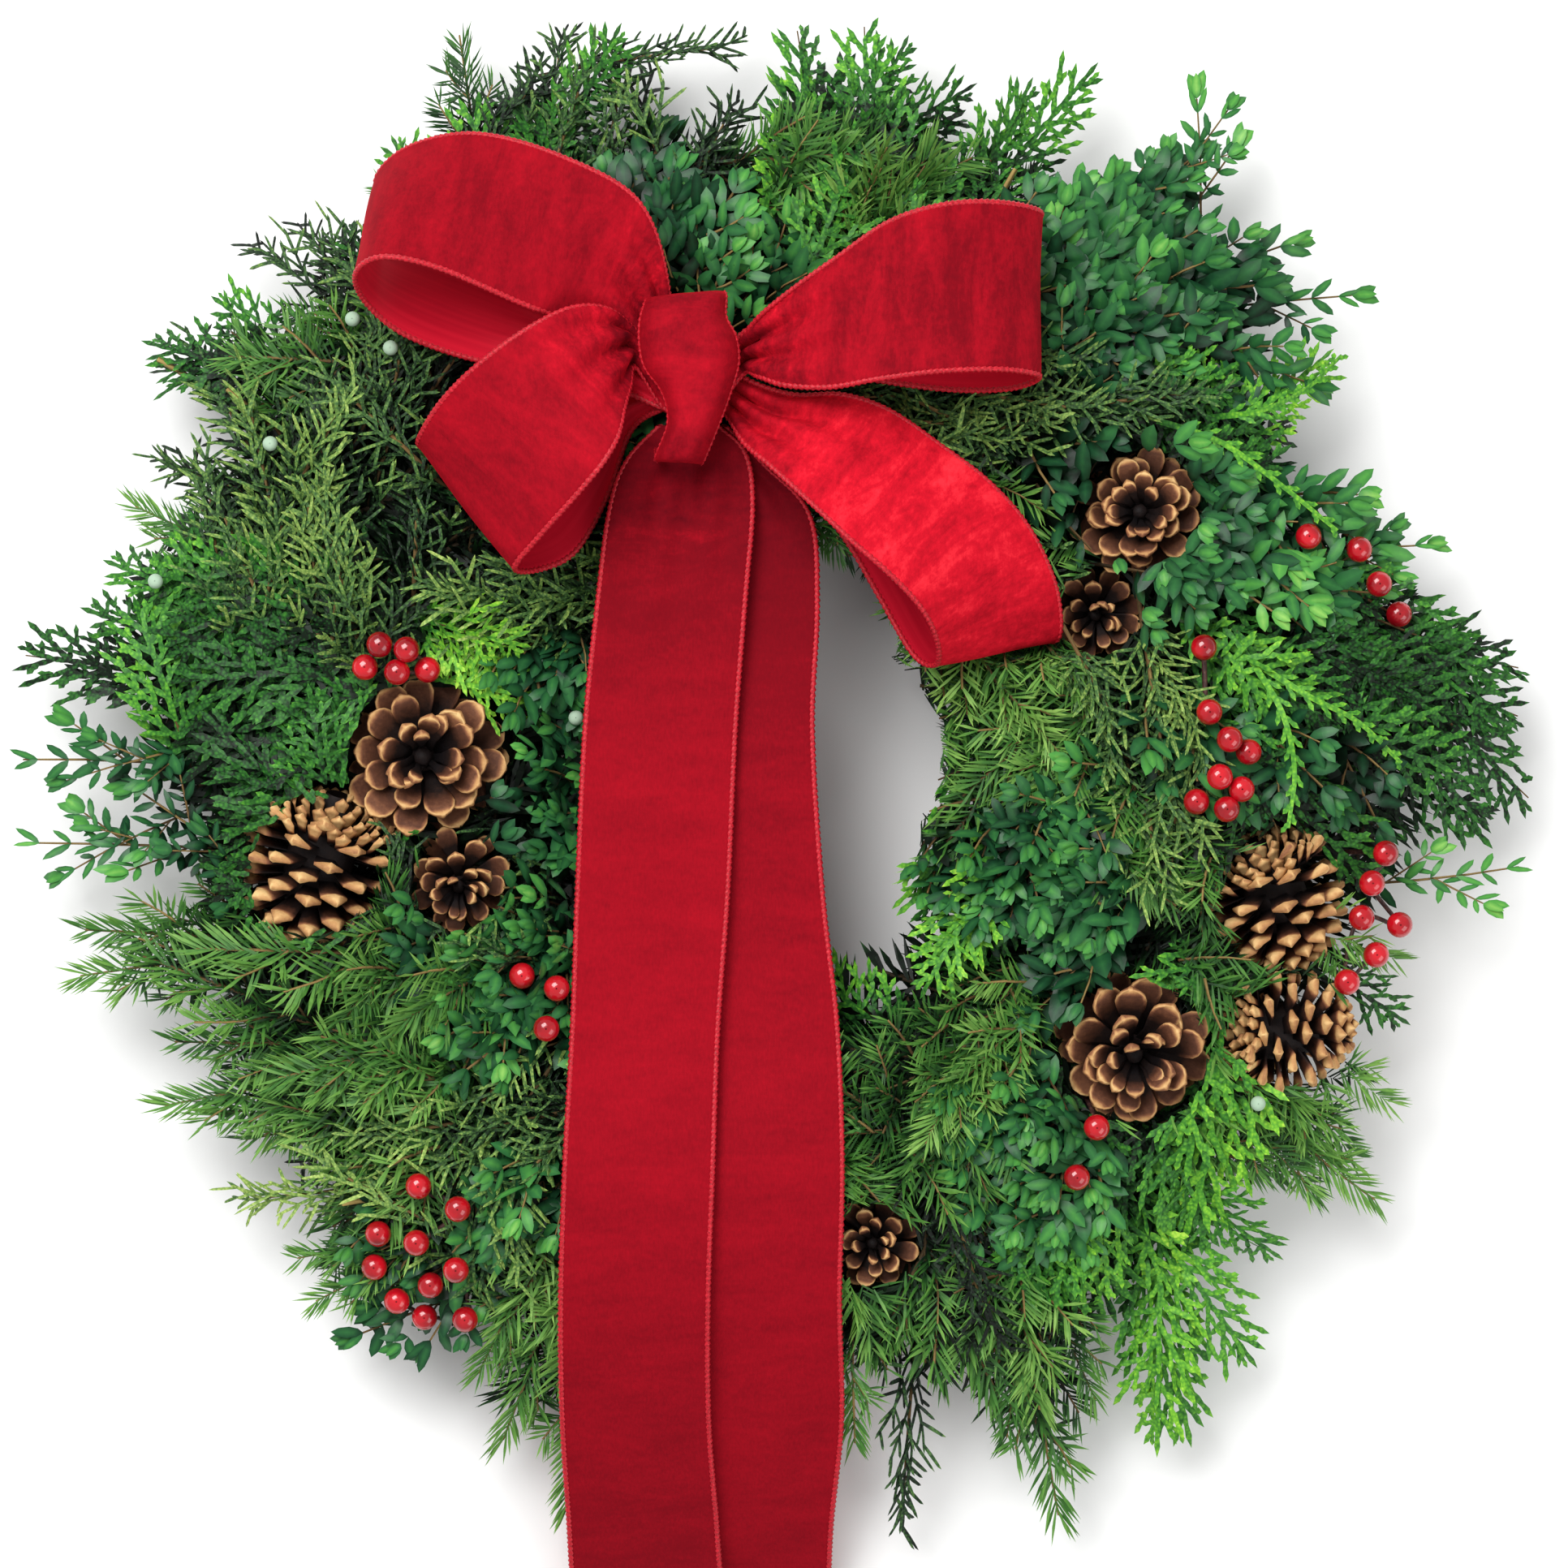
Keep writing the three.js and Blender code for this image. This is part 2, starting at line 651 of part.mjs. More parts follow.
// A pine cone, made along +Z from its stem end. Its scales stand on a slim core in a diamond pattern,
// and each ends in a pointed shield.
function pineCone(radius, length) {
  const large = radius > 23;
  const around = large ? 7 : 6;
  const rows = large ? 7 : 6;
  const core = (h) => radius * (0.12 + 0.24 * Math.sin(Math.PI * (0.12 + 0.8 * h)));
  const reach = (h) => radius * Math.sin(Math.PI * Math.min(1, 0.22 + 0.74 * h)) ** 0.8;
  const at = (row, step, r, z) => {
    const angle = (2 * Math.PI * (step + (row % 2) / 2)) / around;
    return point(r * Math.cos(angle), r * Math.sin(angle), z);
  };
  const places = [];
  for (let row = 0; row < rows; row += 1) {
    const h = row / (rows - 1);
    for (let step = 0; step < around; step += 1) {
      places.push(at(row, step, core(h), length * (0.06 + 0.8 * h)));
    }
  }
  const id = (row, step) => row * around + ((step + around) % around);
  const index = [];
  const bottom = places.push(point(0, 0, 0)) - 1;
  const top = places.push(point(0, 0, length)) - 1;
  for (let step = 0; step < around; step += 1) {
    index.push(bottom, id(0, step + 1), id(0, step));
    index.push(id(0, step), id(0, step + 1), id(1, step));
    const last = rows - 1;
    const shift = last % 2;
    index.push(top, id(last, step), id(last, step + 1));
    index.push(id(last, step), id(last - 1, step + shift), id(last, step + 1));
  }
  for (let row = 1; row < rows - 1; row += 1) {
    for (let step = 0; step < around; step += 1) {
      const odd = row % 2;
      const [left, right] = [id(row, step), id(row, step + 1)];
      const [low, high] = [id(row - 1, step + odd), id(row + 1, step + odd)];
      const h = row / (rows - 1);
      const angle = (2 * Math.PI * (step + 0.5 + odd / 2)) / around;
      const out = point(Math.cos(angle), Math.sin(angle), 0);
      const side = point(-Math.sin(angle), Math.cos(angle), 0);
      const slope = 0.25 + 0.9 * h;
      const lift = (reach(h) - core(h)) * slope;
      const tip = out.clone().multiplyScalar(reach(h)).setZ(length * (0.06 + 0.8 * h) + lift * 0.6);
      const over = out.clone().multiplyScalar(-slope).setZ(1).normalize();
      const half = (0.3 * 2 * Math.PI * reach(h)) / around;
      const thick = 0.075 * radius;
      const corners = [
        tip.clone().addScaledVector(over, -thick), tip.clone().addScaledVector(side, half),
        tip.clone().addScaledVector(over, thick), tip.clone().addScaledVector(side, -half),
      ];
      const first = places.length;
      places.push(...corners);
      const base = [low, right, high, left];
      base.forEach((corner, k) => {
        const next = (k + 1) % 4;
        index.push(corner, base[next], first + next, corner, first + next, first + k);
      });
      index.push(first, first + 1, first + 2, first, first + 2, first + 3);
    }
  }
  return facesBetween(places, index);
}

// Each cone: where its stem end is, which way it points, its radius and its length.
const CONES = {
  1: { base: [-141, -2, 56], points: [0.02, 0.05, 1], radius: 31, length: 50 },
  2: { base: [-180, -18, 64], points: [-0.25, -0.9, 0.1], radius: 28, length: 62 },
  3: { base: [-126, -47, 58], points: [-0.02, -0.35, 0.9], radius: 20, length: 36 },
  4: { base: [149, 96, 58], points: [0, 0.1, 1], radius: 25, length: 44 },
  5: { base: [132, 60, 44], points: [0, -0.2, 1], radius: 19, length: 34 },
  6: { base: [194, -34, 58], points: [0.4, -0.9, 0.12], radius: 26, length: 52 },
  7: { base: [184, -114, 60], points: [1, 0.04, 0.1], radius: 24, length: 56 },
  8: { base: [146, -120, 56], points: [0.03, 0.1, 1], radius: 30, length: 50 },
  9: { base: [42, -198, 52], points: [-0.05, 0, 1], radius: 19, length: 34 },
};

for (const [number, cone] of Object.entries(CONES)) {
  const direction = point(...cone.points).normalize();
  const geometry = pineCone(cone.radius, cone.length);
  geometry.applyQuaternion(new THREE.Quaternion().setFromUnitVectors(UP, direction));
  geometry.translate(...cone.base);
  place(`pine_cone_${number}`, solid(geometry), "cone", CONE_ROOM);
}

// Florist wire from the stem ends of a group of cones to one place on the ring wire, between two bunches.
function coneWire(numbers, degrees) {
  const beside = RING_RADIUS - RING_WIRE / 2 - FLORIST_WIRE - CLEARANCE;
  const legs = numbers.map((number) => {
    const { base, points } = CONES[number];
    const back = point(...points).normalize().negate();
    const start = point(...base).addScaledVector(back, CLEARANCE);
    const under = start.clone().addScaledVector(back, 3).add(point(0, 0, -4));
    const middle = start.clone().lerp(polar(degrees, beside, 18), 0.6);
    middle.z = Math.min(middle.z, 34);
    const path = [start, under, middle, polar(degrees, beside, 14), polar(degrees, beside, 3.5)];
    return thinStem(path, FLORIST_WIRE, polar(degrees, 1, 0.3));
  });
  return joined(legs);
}

const betweenBunches = (clamp) => FIRST_CLAMP + CLAMP_STEP * (clamp + 0.5);

place("cone_wire_left", coneWire([1, 2, 3], betweenBunches(7)), "galvanised");
place("cone_wire_upper_right", coneWire([4, 5], betweenBunches(0)), "galvanised");
place("cone_wire_lower_right", coneWire([6, 7, 8], betweenBunches(13)), "galvanised");
place("cone_wire_bottom", coneWire([9], betweenBunches(10)), "galvanised");

// Berries on their stems: where each berry is, and the place on the ring where the stem is tucked in.
const BERRIES = {
  upper_left: { foot: 6.55, at: [[-163, 35], [-157, 44], [-146, 42], [-138, 34], [-150, 33]] },
  left: { foot: 8.5, at: [[-100, -89], [-86, -94], [-90, -110]] },
  lower_left: {
    foot: 9.45,
    at: [[-142, -174], [-126, -183], [-143, -197], [-159, -194], [-161, -208], [-152, -222],
      [-141, -229], [-124, -229], [-127, -208], [-138, -215]],
  },
  upper_right: {
    foot: 14.6,
    at: [[174, 43], [176, 17], [184, 6], [192, 1], [189, -14], [180, -9], [171, -19], [183, -22]],
  },
  right: { foot: 0.55, at: [[217, 88], [238, 83], [246, 69], [255, 57]] },
  lower_right: {
    foot: 13.7,
    knee: 27,
    at: [[249, -40], [243, -52], [255, -69], [239, -66], [233, -92], [245, -81]],
  },
  bottom: { foot: 12.5, at: [[131, -150], [123, -170]] },
};

// The twig comes up from the ring and runs under the berries in turn, and each berry has a stalk.
function berrySprig(foot, places, kneeHeight = 45) {
  const degrees = FIRST_CLAMP + CLAMP_STEP * foot;
  const flatTop = 0.933 * RING_WIRE; // the hoop's section has six sides
  const aboveWire = CLAMP_BAR - WELD + flatTop + CLEARANCE;
  const stalk = 13; // from the twig to a berry's middle
  const berries = places.map(([x, y], i) => {
    const height = bodyHeight(Math.hypot(x, y)) + 8 + 3 * (i % 3);
    return point(x, y, height);
  });
  const unders = berries.map((berry) => point(berry.x, berry.y, berry.z - stalk));
  const root = polar(degrees, RING_RADIUS, aboveWire + BERRY_STEM / 2);
  const first = unders[0];
  const knee = point((root.x + first.x) / 2, (root.y + first.y) / 2, Math.min(first.z, kneeHeight));
  const way = (from, to) => to.clone().sub(from).normalize();
  const growth = new Growth();
  let up = point(0.3, 0.2, 1);
  const corners = (place, along) => {
    const frame = frameAlong(along.clone().normalize(), up);
    up = frame.over.clone().add(point(0, 0, 0.5));
    return stemCorners(place, frame, BERRY_STEM);
  };
  let ahead = way(root, knee);
  let end = growth.start(corners(root, ahead));
  end = growth.extend(end, corners(knee, ahead.clone().add(way(knee, first)))).end;
  ahead = way(knee, first);
  berries.forEach((berry, i) => {
    const behind = ahead;
    ahead = i + 1 < unders.length ? way(unders[i], unders[i + 1]) : behind;
    const mitre = behind.clone().add(ahead);
    const step = 1.3 * BERRY_STEM;
    end = growth.extend(end, corners(unders[i].clone().addScaledVector(behind, -step), mitre)).end;
    const grown = growth.extend(end, corners(unders[i].clone().addScaledVector(ahead, step), mitre));
    end = grown.end;
    const faces = [...grown.sides[2], ...grown.sides[0]];
    const choices = [0, 30, -30, 60, -60].flatMap((twist) => faces.map((face) => [twist, face]));
    for (const [twist, face] of choices) {
      const mark = growth.mark(face);
      growth.swell(face, berry, berry.clone().sub(growth.middle(face)).normalize(), BERRY_RADIUS, twist);
      if (!growth.crossesSince(mark)) {
        break;
      }
      growth.takeBack(mark);
    }
  });
  growth.sharpen(end, growth.middle(end).addScaledVector(ahead, 4));
  return growth.solid();
}

for (const [name, sprig] of Object.entries(BERRIES)) {
  place(`berry_sprig_${name}`, berrySprig(sprig.foot, sprig.at, sprig.knee), "berry");
}

// How each kind of green grows along its stem: the distance between tufts, the length of a needle or
// leaf at the tuft nearest the root and at the tip, its angle from the stem, and which ways it leaves.
// A way is the side of the three-sided stem, degrees up from the spray's own plane, and which of the
// side's two faces it grows from where that isn't simply the next.
const KINDS = {
  fir: {
    pitch: 22, stem: 1.5, needle: [21, 15], angle: 56,
    ways: [[0, 8], [0, 48], [2, 48], [2, 8], [1, -80]],
  },
  juniper: {
    pitch: 18, stem: 1.4, needle: [20, 11], angle: 36,
    ways: [[0, 20], [0, 60], [2, 60], [2, 20], [1, -70]],
  },
  cedar: {
    pitch: 21, stem: 1.5, needle: [36, 14], angle: 47, width: 5.5, thick: 1.3,
    ways: [[0, 4], [2, 4, 1]],
  },
  boxwood: {
    pitch: 23, stem: 1.3, needle: [19, 14], angle: 50, width: 10, thick: 1.5,
    ways: [[0, 15], [2, 15, 1], [2, 70, 0]],
  },
};

function frameAt(curve, share, upHint) {
  return frameAlong(curve.getTangent(share), upHint);
}

// Draws a face out into a leaf: three-sided, flat below, with a low ridge above.
function growLeaf(growth, face, out, over, length, width, thick) {
  const middle = growth.middle(face);
  const across = over.clone().cross(out).normalize();
  const widest = middle.clone().addScaledVector(out, 0.45 * length);
  const ring = [
    widest.clone().addScaledVector(across, -width / 2).addScaledVector(over, -thick / 3),
    widest.clone().addScaledVector(across, width / 2).addScaledVector(over, -thick / 3),
    widest.clone().addScaledVector(over, (2 * thick) / 3),
  ];
  const order = growth.alongside(face, [0, 1, 2], ring);
  const { end } = growth.extend(face, order.map((i) => ring[i]));
  growth.sharpen(end, middle.clone().addScaledVector(out, length).addScaledVector(over, -0.08 * length));
}

// Places along a needle or leaf, from where it is well clear of its own stem to its tip.
function alongNeedle(start, out, length, radius, away) {
  const from = Math.min(0.8, (radius + STEM_ROOM) / Math.sin(away) / length);
  const shares = [0, 0.25, 0.5, 0.75, 1].map((share) => from + share * (1 - from));
  return shares.map((share) => start.clone().addScaledVector(out, length * share));
}

// A sprig along a curve. Its needles are turned a little or left out where something lies in their way.
function growSprig(curve, kindName) {
  const kind = KINDS[kindName];
  const length = curve.getLength();
  const middle = curve.getPointAt(0.5);
  const outward = point(middle.x, middle.y, 0).normalize();
  const lean = (Math.hypot(middle.x, middle.y) - CREST_RADIUS) / BODY_HALF_WIDTH;
  const upHint = point(0, 0, 1).addScaledVector(outward, 0.7 * lean).normalize();
  const growth = new Growth();
  const own = new Taken();
  const tufts = Math.max(2, Math.round((length - BARE_STEM) / kind.pitch));
  let end = growth.start(stemCorners(curve.getPointAt(0), frameAt(curve, 0, upHint), kind.stem * 1.3));
  const thickness = (share) => kind.stem * (1.2 - 0.65 * share);
  for (let i = 0; i < tufts; i += 1) {
    const at = (BARE_STEM + (length - BARE_STEM - BARE_END) * (i / tufts)) / length;
    const next = at + TUFT / length;
    const share = i / (tufts - 1);
    const facing = frameAt(curve, at, upHint);
    const stem = growth.extend(end, stemCorners(curve.getPointAt(at), facing, thickness(at)));
    const frame = frameAt(curve, next, upHint);
    const grown = growth.extend(stem.end, stemCorners(curve.getPointAt(next), frame, thickness(next)));
    end = grown.end;
    const used = [0, 0, 0];
    kind.ways.forEach(([side, upward, half]) => {
      const face = grown.sides[side][half ?? used[side] % 2];
      used[side] += 1;
      const size = THREE.MathUtils.lerp(kind.needle[0], kind.needle[1], share) * draw(0.9, 1.05);
      const sign = side === 2 ? 1 : -1;
      const start = growth.middle(face);
      const radius = kind.width ? 0.4 * kind.width : 1;
      for (const bend of [0, 12, -12, 24, -24]) {
        const up = radians(upward + bend + draw(-5, 5));
        const away = radians(kind.angle + draw(-5, 5));
        const out = frame.along.clone().multiplyScalar(Math.cos(away));
        out.addScaledVector(frame.side, sign * Math.sin(away) * Math.cos(up));
        out.addScaledVector(frame.over, Math.sin(away) * Math.sin(up));
        const spots = alongNeedle(start, out, size, radius, away);
        const gap = radius + CLEARANCE;
        const low = start.z + out.z * size < 1 + 0.12 * size;
        if (low || !spots.every((spot) => taken.isClear(spot, gap) && own.isClear(spot, gap))) {
          continue;
        }
        const mark = growth.mark(face);
        if (kind.width) {
          const over = frame.over.clone().addScaledVector(out, -frame.over.dot(out)).normalize();
          growLeaf(growth, face, out, over, size, kind.width, kind.thick);
        } else {
          growth.sharpen(face, start.clone().addScaledVector(out, size));
        }
        if (!growth.crossesSince(mark)) {
          spots.forEach((spot) => own.add(spot, radius));
          break;
        }
        growth.takeBack(mark);
      }
    });
  }
  growth.sharpen(end, curve.getPointAt(1));
  for (let at = 14; at <= length; at += 4) {
    own.add(curve.getPointAt(at / length), 1.4);
  }
  return growth.crossesItself() ? null : { solid: growth.solid(), own };
}

// The stem of a sprig from its clamp to its tip, leaving the clamp along the ring.
function stemCurve(root, degrees, tip, lift) {
  const far = root.distanceTo(tip);
  const knee = root.clone().addScaledVector(clockwise(degrees), 0.42 * far);
  knee.z = Math.max(root.z, Math.min(tip.z, root.z + lift));
  return new THREE.QuadraticBezierCurve3(root, knee, tip);
}

function stemIsClear(curve) {
  const length = curve.getLength();
  for (let at = BARE_STEM; at <= length; at += 4) {
    if (!taken.isClear(curve.getPointAt(at / length), STEM_ROOM)) {
      return false;
    }
  }
  return true;
}

function bounds(manifold) {
  const { min, max } = manifold.boundingBox();
  return new THREE.Box3(point(...min), point(...max));
}

function crossesAnother(manifold) {
  const box = bounds(manifold);
  const near = inPlace.filter((other) => other.box.intersectsBox(box));
  return near.some((other) => other.solid.intersect(manifold).volume() > 0);
}

// Where a sprig's tip goes when its way is taken: millimetres higher, and degrees further round.
const OTHER_WAYS = [
  [0, 0], [6, 0], [-6, 0], [0, 3], [0, -3], [12, 2],
  [-12, -2], [-18, 3], [18, 4], [-24, 0], [-32, 2], [-40, 0],
];

// One bunch: the cut stems in the clamp and the sprigs that grow from them.
function bunch(degrees, side, kind, tips) {
  const centre = polar(degrees, RING_RADIUS + side * STUB_SIDE, STUB_HEIGHT);
  const along = clockwise(degrees);
  const stub = new THREE.CylinderGeometry(STUB_RADIUS, STUB_RADIUS, STUB_CUT_END + STUB_LEAF_END, 6);
  stub.rotateY(Math.PI / 6);
  stub.translate(0, (STUB_LEAF_END - STUB_CUT_END) / 2, 0);
  const turn = new THREE.Matrix4().makeBasis(polar(degrees, 1, 0), along, UP.clone().negate());
  stub.applyMatrix4(turn.setPosition(centre));
  const solids = [solid(stub)];
  tips.forEach((tip, i) => {
    const offset = i - (tips.length - 1) / 2;
    const root = centre.clone().addScaledVector(along, STUB_LEAF_END - 9);
    root.addScaledVector(polar(degrees, 1, 0), side * -1.6 * offset);
    root.z += 1.5 * (i % 2 === 0 ? 1 : -1);
    for (const [higher, further] of OTHER_WAYS) {
      const end = polar(tip.angle + further, tip.radius, Math.max(LOWEST_TIP, tip.height + higher));
      const curve = stemCurve(root, degrees, end, tip.lift ?? 30);
      if (stemIsClear(curve)) {
        const sprig = growSprig(curve, kind);
        if (sprig && !crossesAnother(sprig.solid)) {
          taken.addAll(sprig.own);
          solids.push(sprig.solid);
          return;
        }
      }
    }
  });
  return { solid: joined(solids), sprigs: solids.length - 1 };
}

// Each clamp's outer and inner bunch, going round from the first clamp: the kind of green, and for the
// outer one the angle and radius of the sprigs that reach furthest.
const BUNCHES = [
  { outer: "cedar", tone: "darkCedar", far: [[-5, 320], [7, 308]], inner: "fir" },
  { outer: "boxwood", far: [[17, 284], [27, 270]], inner: "juniper" },
  { outer: "boxwood", far: [[37, 304], [46, 298]], inner: "juniper" },
  { outer: "boxwood", far: [[56, 322], [66, 300]], inner: "boxwood" },
  { outer: "cedar", tone: "brightCedar", far: [[88, 306], [80, 300]], inner: "boxwood" },
  { outer: "juniper", far: [[113, 318], [103, 284]], inner: "boxwood" },
  { outer: "cedar", tone: "darkCedar", far: [[132, 290], [146, 306]], inner: "juniper" },
  { outer: "cedar", tone: "darkCedar", far: [[172, 312], [162, 288]], inner: "juniper" },
  { outer: "boxwood", far: [[178, 311], [186, 309]], inner: "boxwood" },
  { outer: "fir", far: [[196, 296], [209, 287]], inner: "boxwood" },
  { outer: "juniper", far: [[221, 278], [234, 293]], inner: "fir" },
  { outer: "fir", far: [[247, 305], [257, 296]], inner: "fir" },
  { outer: "fir", far: [[279, 312], [290, 338]], inner: "cedar", innerTone: "brightCedar" },
  { outer: "cedar", tone: "brightCedar", far: [[299, 328], [308, 316]], inner: "boxwood" },
  { outer: "fir", far: [[323, 309], [331, 292]], inner: "boxwood" },
];

// The stubs of all the bunches take their room before any sprig grows.
for (let i = 0; i < CLAMPS; i += 1) {
  const degrees = FIRST_CLAMP + i * CLAMP_STEP;
  for (const side of [-1, 1]) {
    const centre = polar(degrees, RING_RADIUS + side * STUB_SIDE, STUB_HEIGHT);
    for (let along = -STUB_CUT_END; along <= STUB_LEAF_END; along += 4) {
      taken.add(centre.clone().addScaledVector(clockwise(degrees), along), STUB_RADIUS);
    }
  }
}

const twoDigits = (number) => String(number).padStart(2, "0");

BUNCHES.forEach((row, i) => {
  const degrees = FIRST_CLAMP + i * CLAMP_STEP;
  const low = row.far.map(([angle, radius], k) => ({ angle, radius, height: 26 + 12 * k, lift: 18 }));
  const crest = { angle: degrees - 24, radius: 214, height: 84, lift: 42 };
  const outer = bunch(degrees, 1, row.outer, [...low, crest]);
  place(`${row.outer}_bunch_outer_${twoDigits(i + 1)}`, outer.solid, row.tone ?? row.outer, 0);
  const rim = { angle: degrees - 22, radius: 84, height: 34, lift: 14 };
  const ridge = { angle: degrees - 30, radius: 140, height: 82, lift: 46 };
  const inner = bunch(degrees, -1, row.inner, [rim, ridge]);
  place(`${row.inner}_bunch_inner_${twoDigits(i + 1)}`, inner.solid, row.innerTone ?? row.inner, 0);
});

// The origin goes to the middle of the wreath's underside.
const extent = new THREE.Box3().setFromObject(wreath);
const middle = extent.getCenter(new THREE.Vector3());
wreath.position.set(-middle.x, -middle.y, -extent.min.z);

export default wreath;
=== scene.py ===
# A fresh evergreen wreath with pine cones, red berries and a velvet ribbon bow, lying on its back.
# Its front looks up along +Z, and +Y is the way up when it hangs. Metres; tables are in millimetres
# from the middle of the wire ring.

import math

import bpy
import numpy as np
from mathutils import Matrix, Vector


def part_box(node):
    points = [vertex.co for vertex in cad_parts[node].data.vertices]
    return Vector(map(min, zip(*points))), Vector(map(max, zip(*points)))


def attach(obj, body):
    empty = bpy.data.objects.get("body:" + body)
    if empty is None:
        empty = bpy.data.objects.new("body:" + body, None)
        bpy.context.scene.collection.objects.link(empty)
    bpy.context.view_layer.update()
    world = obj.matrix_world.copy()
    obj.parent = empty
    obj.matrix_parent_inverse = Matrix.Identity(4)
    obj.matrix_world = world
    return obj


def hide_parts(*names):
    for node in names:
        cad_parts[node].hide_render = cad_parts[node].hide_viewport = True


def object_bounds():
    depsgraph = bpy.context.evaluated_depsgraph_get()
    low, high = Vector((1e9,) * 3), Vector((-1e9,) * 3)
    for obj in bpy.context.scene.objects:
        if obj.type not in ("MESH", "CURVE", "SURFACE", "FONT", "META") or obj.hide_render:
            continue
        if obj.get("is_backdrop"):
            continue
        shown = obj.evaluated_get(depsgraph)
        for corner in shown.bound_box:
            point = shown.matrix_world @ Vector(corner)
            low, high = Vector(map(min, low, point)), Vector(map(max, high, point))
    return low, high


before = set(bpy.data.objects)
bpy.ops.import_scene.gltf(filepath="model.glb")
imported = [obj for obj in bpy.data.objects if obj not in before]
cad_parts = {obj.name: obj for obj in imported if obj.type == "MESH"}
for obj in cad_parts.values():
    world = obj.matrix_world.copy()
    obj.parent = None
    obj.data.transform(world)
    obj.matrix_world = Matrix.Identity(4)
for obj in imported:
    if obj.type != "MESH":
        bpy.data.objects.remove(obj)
cad_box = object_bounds()

# The camera
# It looks straight down on the wreath's front through a long lens, as the photograph was taken,
# and its frame is 638 mm wide at the level of the greens.

ring_low, ring_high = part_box("ring_frame")
RING_MIDDLE = np.array([(ring_low[0] + ring_high[0]) / 2, (ring_low[1] + ring_high[1]) / 2, 0.0])
CAMERA_HEIGHT = 3.0
CAMERA_ASIDE = (0.0053, -0.0119)  # from the ring's middle, along x and y
GREENS_LEVEL = 0.06
FRAME_WIDTH = 0.6376
SENSOR_WIDTH = 36.0
FAR_LIMIT = 20.0

camera_data = bpy.data.cameras.new("camera")
camera = bpy.data.objects.new("camera", camera_data)
bpy.context.collection.objects.link(camera)
camera.location = (RING_MIDDLE[0] + CAMERA_ASIDE[0], RING_MIDDLE[1] + CAMERA_ASIDE[1], CAMERA_HEIGHT)
camera_data.sensor_width = SENSOR_WIDTH
camera_data.lens = SENSOR_WIDTH * (CAMERA_HEIGHT - GREENS_LEVEL) / FRAME_WIDTH
camera_data.clip_end = FAR_LIMIT
bpy.context.scene.camera = camera

# The studio
# A pale painted floor under the wreath, one large soft light above and to the upper left,
# a weaker one from the lower right, and an even pale surround.

FLOOR_HALF = 6.0
FLOOR_DROP = 0.0005


def linear(hex_colour):
    """A colour from an sRGB hex value."""
    parts = [int(hex_colour[i : i + 2], 16) / 255 for i in (1, 3, 5)]
    return tuple(c / 12.92 if c <= 0.04045 else ((c + 0.055) / 1.055) ** 2.4 for c in parts) + (1.0,)


def fill(material, node, inputs):
    """Sets a node's inputs. Each is a value, or the output of another node that it is linked from."""
    for name, value in inputs.items():
        socket = node.inputs[name]
        if isinstance(value, bpy.types.NodeSocket):
            material.node_tree.links.new(value, socket)
        else:
            socket.default_value = value


def add(material, kind, inputs, output=0, stops=(), **settings):
    """Adds a node with its settings and links, and returns one of its outputs.

    A colour ramp also has stops, each a place along it and an sRGB hex colour.
    """
    node = material.node_tree.nodes.new(f"ShaderNode{kind}")
    for name, value in settings.items():
        setattr(node, name, value)
    fill(material, node, inputs)
    if stops:
        points = node.color_ramp.elements
        while len(points) < len(stops):
            points.new(0.5)
        for point, (place, shade) in zip(points, stops):
            point.position = place
            point.color = linear(shade)
    return node.outputs[output]


def new_material(name):
    """An empty material and its surface shader."""
    material = bpy.data.materials.new(name)
    material.use_nodes = True
    surface = material.node_tree.nodes["Principled BSDF"]
    surface.name = "surface"
    return material, surface


def per_metre(size):
    """The scale of a pattern from its real size in millimetres: how many fit in a metre, rounded."""
    return float(round(1000 / size))


def mottled_material(name, size, detail, stops, inputs):
    """A material with soft spots of one size, in millimetres."""
    material, surface = new_material(name)
    place = add(material, "TexCoord", {}, "Object")
    spots = add(material, "TexNoise", {"Vector": place, "Scale": per_metre(size), "Detail": detail})
    colour = add(material, "ValToRGB", {"Fac": spots}, stops=stops)
    fill(material, surface, {"Base Color": colour, **inputs})
    return material


floor_whites = [(0.3, "#f4f4f3"), (0.7, "#fafaf9")]
floor_paint = mottled_material("matt_floor_paint", 330, 3.0, floor_whites, {"Roughness": 0.9})
floor_mesh = bpy.data.meshes.new("floor")
floor_corners = [(FLOOR_HALF * x, FLOOR_HALF * y, 0) for x, y in ((-1, -1), (1, -1), (1, 1), (-1, 1))]
floor_mesh.from_pydata(floor_corners, [], [(0, 1, 2, 3)])
floor_mesh.materials.append(floor_paint)
floor = bpy.data.objects.new("floor", floor_mesh)
bpy.context.collection.objects.link(floor)
floor.location.z = -FLOOR_DROP
floor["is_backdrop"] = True


def soft_light(name, where, size, watts):
    """A square light that shines at the wreath's middle."""
    data = bpy.data.lights.new(name, "AREA")
    data.size = size
    data.energy = watts
    light = bpy.data.objects.new(name, data)
    bpy.context.collection.objects.link(light)
    light.location = where
    light.rotation_euler = (-Vector(where)).to_track_quat("-Z", "Y").to_euler()


soft_light("key_light", (-0.9, 1.3, 2.5), 1.7, 88.0)
soft_light("fill_light", (1.7, -1.3, 1.9), 1.8, 26.0)

world = bpy.data.worlds.new("surround")
world.use_nodes = True
world.node_tree.nodes["Background"].inputs["Color"].default_value = linear("#ffffff")
world.node_tree.nodes["Background"].inputs["Strength"].default_value = 0.5
bpy.context.scene.world = world
bpy.context.scene.view_settings.view_transform = "Standard"

# The ring and the wires
# A heavy wire hoop with clamps of flat bar welded under it, dipped in green lacquer, and bright
# zinc-coated florist's wire that ties on the cones and the bow. Their CAD solids stay.

